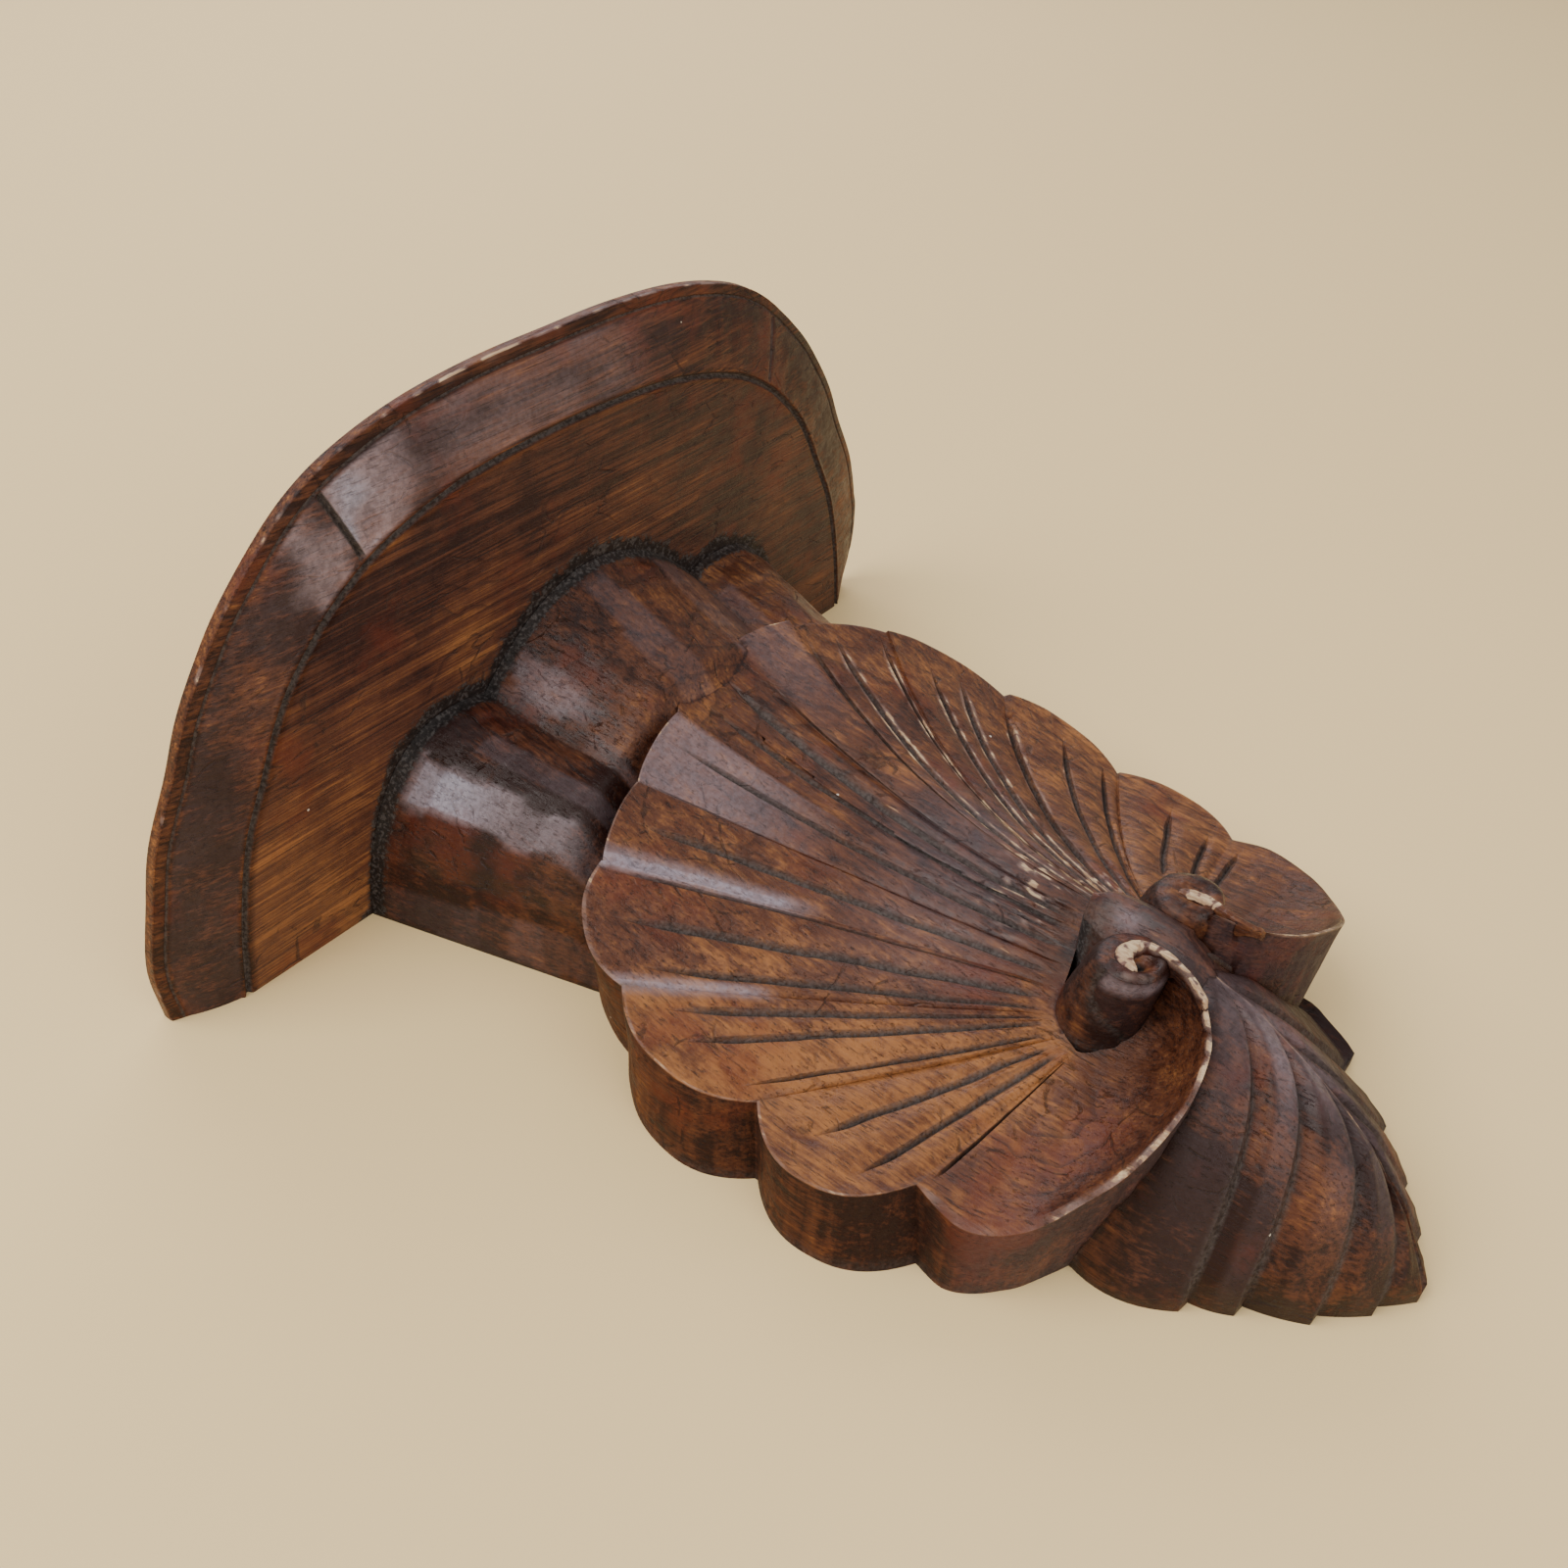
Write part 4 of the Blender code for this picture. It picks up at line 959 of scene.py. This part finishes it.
def build_board():
    """field, cut line, sloping band with its gouge facets, thin line, edge and plain top"""
    inner = whole(FIELD_LINE)
    outer = whole(EDGE_LINE)
    last = len(inner) - 1
    mitres = np.array([MITRE_LEFT, last - MITRE_RIGHT])
    near = np.array([-0.16, -0.1, -0.06, -0.03, 0, 0.03, 0.06, 0.1, 0.16])
    at = np.unique(np.concatenate([np.linspace(0, last, 300), *(mitres[:, None] + near)]))
    field, rim = outline(inner, at), outline(outer, at)
    width = np.hypot(*(rim - field).T)
    run = np.concatenate([[0], np.cumsum(np.hypot(*np.diff(rim, axis=0).T))])
    off = np.abs(at - mitres[:, None]).min(0)
    step = np.interp(at, np.arange(last) + 0.5, np.hypot(*np.diff(outer, axis=0).T))
    mitre = np.clip(1 - off * step / MITRE_HALF, 0, 1)
    right = smooth((last + 1) * 0.5, (last + 1) * 0.55, at)
    ends = smooth(0, 12, run) * smooth(0, 12, run[-1] - run)
    profile = []

    def line_at(x, y, z, corner, **marks):
        """one line along the board, with the right-hand corner drawn in"""
        x = np.where(x > 0, x - SHELF_CORNER_IN * corner, x)
        values = [np.broadcast_to(np.asarray(marks.get(m, 0.0), float), at.shape) for m in MARKS]
        profile.append((place(x + SHELF_SHIFT, y, z), values))

    def across(share, y, **marks):
        """one line at a share of the way from the field's outline to the edge"""
        x, z = (lerp(field[:, n], rim[:, n], share) for n in (0, 1))
        corner = np.clip(share, 0, 1) * np.clip(1 - z / SHELF_CORNER_HEIGHT, 0, 1)
        line_at(x, y, z, corner, **marks)

    for w in np.concatenate([np.linspace(0, 0.92, 34), [0.95, 0.975]]):
        x, z = (field * w).T
        gold = 0.3 + 0.34 * smooth(0, -120, x) * (1 - smooth(40, 110, z))
        gold = gold + 0.08 * noise(x / 25, z / 20, 3.0)
        gold = gold - 0.06 * smooth(0, 90, x) - 0.17 * smooth(80, 130, z)
        # a faint even painted sheen over the field
        line_at(x, 0.0, z, 0.0, gold=gold, bloom=0.04, seam=board_seam(x + SHELF_SHIFT, z))

    groove = GROOVE_HALF / width
    wobble = 0.12 * noise(run / 12, 0.5, 4.0)
    for k, deep in GROOVE_SECTION:
        stain = 0.9 * (deep > 0.4) + 0.1 * (abs(k) < 0.9)
        across(k * groove, GROOVE_DEPTH * deep * (1 + wobble), stain=stain, gold=0.3)

    line = 1 - LINE_INSET / width
    facet = run / BAND_FACET + 0.35 * noise(run / 20, 3.0, 2.0)
    chip = np.floor(facet)
    tilt = (cell(chip, 1.0, 9.0) - 0.5) * 0.09
    hollow = (facet - chip - 0.5) * BAND_FACET * tilt * ends
    mitre_cut = MITRE_DEPTH * mitre * (1 - 0.6 * right)
    mitre_dirt = (mitre > 0.2) * (1 - 0.4 * right)
    for s in np.linspace(0, 1, 20)[1:-1]:
        drift = at + 0.5 * noise(run / 9, s * 2.5, 3.0)
        upper = smooth(MITRE_LEFT, MITRE_LEFT + 0.05, at)
        upper = upper * (1 - smooth(MITRE_LEFT + 0.7, MITRE_LEFT + 2.2, drift))
        lower = bump(drift, MITRE_LEFT - 0.75, 1.0)
        share = lerp(1.3 * groove, line - 0.55 / width, s)
        y = BAND_RISE * share - BAND_HOLLOW * arch(s) * (1 - 0.5 * right) + hollow * smooth(0, 0.25, s)
        y = y + mitre_cut + 0.12 * noise(run / 7, s * 3, 8.0)
        gold = 0.3 + 0.24 * noise(run / 28, s * 1.6, 1.0) - 0.14 * (1 - smooth(1, 6, at)) - 0.05 * right
        # painted sheen on the band, strongest on both sides of the left mitre and weaker on the right half
        bloom = 0.72 * upper + 0.5 * lower + 0.2 * smooth(9.5, 12, at) * (1 - smooth(15, 17, at)) + 0.08
        bloom = bloom * (0.8 + 0.3 * noise(run / 10, s * 3, 6.0)) * (1 - 0.6 * right)
        across(share, y, stain=mitre_dirt, gold=gold, bloom=bloom)
    for k, deep in LINE_SECTION:
        share = line + k / width
        across(share, BAND_RISE * share + LINE_DEPTH * deep * ends, stain=0.85 * (deep > 0.5), gold=0.25)

    chipped = smooth(0.0, 0.35, noise(run / 7, 7.0, 1.0)) * bump(at, 12.9, 1.7)
    chipped = np.clip(chipped + 0.5 * smooth(0.45, 0.7, noise(run / 4, 2.0, 5.0)), 0, 1)
    for c in (0.35, 0.7, 0.92):
        share = lerp(line + 0.6 / width, 1.0, c)
        across(share, BAND_RISE * share + 0.3 * chipped * c, bare=0.3 * chipped * c, gold=0.3)
    edge_round = EDGE_ROUND + EDGE_NICK * chipped
    quarter = np.linspace(0, 1, 4) * math.pi / 2
    for turn in quarter:
        y = BAND_RISE + edge_round * (1 - math.cos(turn))
        across(1.0 - edge_round * (1 - math.sin(turn)) / width, y, bare=chipped * 0.95, gold=0.4)
    for a in (0.35, 0.7):
        y = BAND_RISE + lerp(EDGE_ROUND, SHELF_EDGE - EDGE_ROUND, a)
        across(1.0, y, bare=0.15 * chipped, gold=0.55)
    thick = BAND_RISE + SHELF_EDGE
    for turn in quarter:
        y = thick - EDGE_ROUND * (1 - math.sin(turn))
        across(1.0 - EDGE_ROUND * (1 - math.cos(turn)) / width, y, bare=0.05, gold=0.4)
    for w in (0.985, 0.93, 0.8, 0.6, 0.4, 0.2, 0.0):
        x, z = (lerp(field, rim, 0.995) * w).T
        corner = w * np.clip(1 - z / max(w, 0.01) / SHELF_CORNER_HEIGHT, 0, 1)
        line_at(x, thick, z, corner, gold=0.4)

    shell = Shell()
    points = np.stack([line for line, _ in profile], 1)
    marks = np.stack([values for _, values in profile], 2)
    for k, row in enumerate(points):
        shell.add(row, **{m: marks[n, k] for n, m in enumerate(MARKS)})
    return shell.solid("shelf_board_carved")


# wood


class Nodes:
    """short way to add shader nodes and join them"""

    def __init__(self, name):
        self.mat = bpy.data.materials.new(name)
        self.mat.use_nodes = True
        self.tree = self.mat.node_tree
        self.bsdf = self.tree.nodes["Principled BSDF"]

    def put(self, socket, value):
        if isinstance(value, bpy.types.NodeSocket):
            self.tree.links.new(value, socket)
        elif isinstance(value, tuple) and len(value) == 3 and len(socket.default_value) == 4:
            socket.default_value = (*value, 1.0)
        else:
            socket.default_value = value

    def add(self, kind, inputs=(), **settings):
        node = self.tree.nodes.new(kind)
        for key, value in settings.items():
            setattr(node, key, value)
        for key, value in dict(inputs).items():
            self.put(node.inputs[key], value)
        return node

    def mark(self, name):
        return self.add("ShaderNodeAttribute", attribute_name=name).outputs["Fac"]

    def math(self, operation, a, b=0.0, clamp=False):
        return self.add("ShaderNodeMath", {0: a, 1: b}, operation=operation, use_clamp=clamp).outputs[0]

    def times(self, a, b, clamp=False):
        return self.math("MULTIPLY", a, b, clamp)

    def plus(self, a, b, clamp=False):
        return self.math("ADD", a, b, clamp)

    def swing(self, value, strength):
        """a field round 0.5 as a swing to both sides of 0"""
        return self.times(self.math("SUBTRACT", value, 0.5), strength)

    def span(self, value, low, high, to_low=0.0, to_high=1.0):
        node = self.add("ShaderNodeMapRange", {0: value, 1: low, 2: high, 3: to_low, 4: to_high})
        node.interpolation_type = "SMOOTHSTEP"
        return node.outputs[0]

    def mix(self, share, a, b):
        node = self.add("ShaderNodeMix", data_type="RGBA")
        self.put(node.inputs["Factor"], share)
        for name, value in (("A", a), ("B", b)):
            self.put([s for s in node.inputs if s.name == name and s.type == "RGBA"][0], value)
        return [s for s in node.outputs if s.type == "RGBA"][0]

    def field(self, coords, scale, detail=4.0, rough=0.55, stretch=(1, 1, 1), turn=(0, 0, 0)):
        placed = {"Vector": coords, "Scale": stretch, "Rotation": turn}
        moved = self.add("ShaderNodeMapping", placed).outputs[0]
        settings = {"Vector": moved, "Scale": scale, "Detail": detail, "Roughness": rough}
        return self.add("ShaderNodeTexNoise", settings).outputs["Fac"]


def wood(name, grain, across, fibre, patchy, gloss, dull, sheen_colour):
    """stained wood: grain along one axis, blotches, dirt in the cuts, painted shade and sheen, rubbed and
    bare high places
    """
    n = Nodes(name)
    coords = n.add("ShaderNodeTexCoord").outputs["Object"]
    stain, bare, gold, bloom, seam, wall = (n.mark(m) for m in MARKS)
    blotch = n.field(coords, 34.0, 5.0, 0.58)
    cloud = n.field(coords, 12.0, 3.0, 0.5)
    streak = n.field(coords, 330.0, 5.0, 0.6, stretch=grain)
    fine = n.field(coords, 1000.0, 3.0, 0.6, stretch=grain)
    mottle = n.field(coords, 230.0, 7.0, 0.7)
    upright = n.field(coords, 260.0, 4.0, 0.6, stretch=(1.0, 1.0, 0.06))
    pores = n.field(coords, 1500.0, 3.0, 0.6, stretch=grain)

    # tone from dark to light
    tone = n.times(gold, 0.85)
    swings = ((blotch, patchy), (cloud, 0.5), (streak, fibre), (fine, fibre), (mottle, 0.55 * patchy))
    for value, strength in swings:
        tone = n.plus(tone, n.swing(value, strength))
    tone = n.plus(tone, n.times(wall, n.swing(upright, 0.8)), clamp=True)
    colour = n.mix(n.span(tone, 0.34, 0.95), n.mix(n.span(tone, 0.0, 0.42), DARK, MIDDLE), LIGHT)
    red = n.span(n.field(coords, 30.0, 4.0, 0.6, turn=(0.4, 0.2, 0.9)), 0.54, 0.68)
    colour = n.mix(n.times(red, 0.45), colour, RED)

    # growth rings, pores and fine cracks
    warp = n.add("ShaderNodeTexNoise", {"Vector": coords, "Scale": 24.0, "Detail": 3.0}).outputs["Color"]
    bent = n.add("ShaderNodeVectorMath", {0: warp, "Scale": 0.03}, operation="SCALE")
    moved = n.add("ShaderNodeVectorMath", {0: coords, 1: bent.outputs[0]}, operation="ADD").outputs[0]
    settings = {"Vector": moved, "Scale": 48.0, "Distortion": 2.5, "Detail": 3.0, "Detail Scale": 1.2}
    kind = {"wave_type": "RINGS", "rings_direction": across, "wave_profile": "SAW"}
    rings = n.add("ShaderNodeTexWave", settings, **kind).outputs["Fac"]
    ring = n.times(n.span(rings, 0.72, 0.97), n.span(cloud, 0.42, 0.56))
    colour = n.mix(n.times(ring, 0.5), colour, DARK)
    pore = n.span(pores, 0.58, 0.68)
    colour = n.mix(n.times(pore, 0.6), colour, PORE)
    net_scale = tuple(0.45 + 0.55 * g for g in grain)
    net = n.add("ShaderNodeMapping", {"Vector": moved, "Scale": net_scale}).outputs[0]
    cells = n.add("ShaderNodeTexVoronoi", {"Vector": net, "Scale": 85.0}, feature="DISTANCE_TO_EDGE")
    crack = n.times(n.span(cells.outputs["Distance"], 0.035, 0.01), n.span(mottle, 0.48, 0.58))
    crack = n.times(crack, n.span(n.field(coords, 22.0, 2.0, 0.5, turn=(1.0, 0.3, 0.2)), 0.42, 0.56))
    colour = n.mix(n.times(crack, 0.6), colour, CRACK)

    # painted sheen, dirt in the cuts with painted shade in some recesses, and grime at the board
    sheen_mottle = n.times(n.span(n.field(coords, 620.0, 3.0, 0.6), 0.35, 0.65), 0.35)
    sheen = n.times(bloom, n.plus(0.7, sheen_mottle), clamp=True)
    sheen = n.times(sheen, n.math("SUBTRACT", 1.0, n.times(pore, 0.3)))
    sheen_tone = n.mix(n.span(bloom, 0.64, 0.92), sheen_colour, BRIGHT_SHEEN)
    colour = n.mix(n.times(sheen, 0.85), colour, sheen_tone)
    grime = n.field(coords, 850.0, 3.0, 0.6)
    # dirt, and the painted shade marked with it, in grey-brown
    darkening = n.times(stain, n.span(grime, 0.2, 0.5, 0.7, 1.0))
    colour = n.mix(darkening, colour, n.mix(n.span(grime, 0.35, 0.65), *DIRT_AND_SHADE_TONES))
    caked = n.times(n.span(n.plus(seam, n.swing(grime, 1.2)), 0.15, 0.6), 0.93)
    colour = n.mix(caked, colour, n.mix(n.span(grime, 0.46, 0.66), *GRIME))

    # rubbed and bare places, and specks
    flake = n.plus(bare, n.swing(streak, 1.6))
    rubbed = n.span(n.plus(flake, n.swing(fine, 0.8)), 0.42, 0.62)
    colour = n.mix(n.times(n.span(bare, 0.05, 0.45), 0.45), colour, HALF_WORN)
    colour = n.mix(n.times(rubbed, 0.92), colour, n.mix(n.span(fine, 0.38, 0.62), *BARE_WOOD))
    speck = n.add("ShaderNodeTexVoronoi", {"Vector": coords, "Scale": 105.0}, feature="F1")
    chosen = n.add("ShaderNodeSeparateColor", {0: speck.outputs["Color"]}).outputs[0]
    small = n.math("LESS_THAN", speck.outputs["Distance"], 0.045)
    dot = n.times(small, n.math("GREATER_THAN", chosen, 0.93))
    n.put(n.bsdf.inputs["Base Color"], n.mix(n.times(dot, 0.8), colour, SPECK))

    rough = n.plus(n.plus(dull, n.swing(streak, 0.6)), n.swing(mottle, 0.7))
    for value, strength in ((stain, 0.25), (wall, 0.22), (seam, 0.25)):
        rough = n.plus(rough, n.times(value, strength))
    n.put(n.bsdf.inputs["Roughness"], n.plus(rough, n.times(rubbed, 0.25), clamp=True))
    n.put(n.bsdf.inputs["Specular IOR Level"], n.math("SUBTRACT", gloss, n.times(wall, 0.2)))
    height = n.times(streak, 0.8)
    for value, strength in ((pore, -0.5), (crack, -1.0), (mottle, 0.9), (fine, 0.4)):
        height = n.plus(height, n.times(value, strength))
    relief = n.add("ShaderNodeBump", {"Strength": 0.6, "Distance": 0.0006, "Height": height})
    n.put(n.bsdf.inputs["Normal"], relief.outputs["Normal"])
    return n.mat


def table_top():
    n = Nodes("pale table top")
    coords = n.add("ShaderNodeTexCoord").outputs["Object"]
    n.put(n.bsdf.inputs["Base Color"], n.mix(n.field(coords, 1.3, 3.0, 0.5), *TABLE))
    n.bsdf.inputs["Roughness"].default_value = 0.8
    n.bsdf.inputs["Specular IOR Level"].default_value = 0.2
    return n.mat


# put together

corbel = join_solids("carved_corbel_carved", [
    build_fan(), build_neck(), build_crest(), build_scroll(-1), build_scroll(1), build_curl(-1),
    build_curl(1), build_leaf(-1), build_leaf(1),
])
board = build_board()
# the last value of each finish is the colour of its painted sheen
carved_wood = wood("carved wood", (1.0, 0.11, 1.0), "Y", 0.82, 1.2, 0.33, 0.40, (0.29, 0.225, 0.25))
board_wood = wood("board wood", (0.035, 1.0, 1.3), "X", 1.15, 0.8, 0.22, 0.46, (0.43, 0.33, 0.36))

for piece, node, finish in ((corbel, "carved_corbel", carved_wood), (board, "shelf_board", board_wood)):
    piece.data.materials.clear()
    piece.data.materials.append(finish)
    for polygon in piece.data.polygons:
        polygon.use_smooth = True
    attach(piece, "root")
    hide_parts(node)
    piece.data.set_sharp_from_angle(angle=math.radians(38))

bm = bmesh.new()
bmesh.ops.create_grid(bm, x_segments=1, y_segments=1, size=4.0)
floor = linked("floor", bm)
floor.data.materials.append(table_top())


def lamp(name, energy, size, at, aim, colour):
    data = bpy.data.lights.new(name, "AREA")
    data.energy = energy
    data.shape = "RECTANGLE"
    data.size, data.size_y = size
    data.color = colour
    light = bpy.data.objects.new(name, data)
    light.location = at
    light.rotation_euler = (Vector(aim) - Vector(at)).to_track_quat("-Z", "Y").to_euler()
    bpy.context.scene.collection.objects.link(light)


lamp("key", 23.0, (1.3, 1.3), (-0.9, 0.55, 1.45), (0, 0, 0), WARM_LIGHT)
lamp("window", 12.0, (1.6, 0.9), (0.75, 1.25, 0.95), (0, 0, 0.05), WINDOW_LIGHT)
lamp("front", 12.0, (1.2, 1.2), (-0.45, -1.35, 0.95), (0, 0, 0), WARM_LIGHT)
world = bpy.data.worlds.new("studio")
world.use_nodes = True
world.node_tree.nodes["Background"].inputs["Color"].default_value = (*WARM_LIGHT, 1.0)
world.node_tree.nodes["Background"].inputs["Strength"].default_value = 0.57
bpy.context.scene.world = world

camera_data = bpy.data.cameras.new("camera")
camera_data.lens = 36.0
camera_data.sensor_width = 36.0
camera_data.clip_start = 0.01
camera = bpy.data.objects.new("camera", camera_data)
camera.location = CAMERA_PLACE
camera.rotation_euler = tuple(math.radians(a) for a in CAMERA_TURN)
bpy.context.scene.collection.objects.link(camera)
bpy.context.scene.camera = camera

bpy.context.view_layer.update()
for piece in (corbel, board):
    triangles = sum(len(p.vertices) - 2 for p in piece.data.polygons)
    print(piece.name, len(piece.data.vertices), triangles, "triangles")
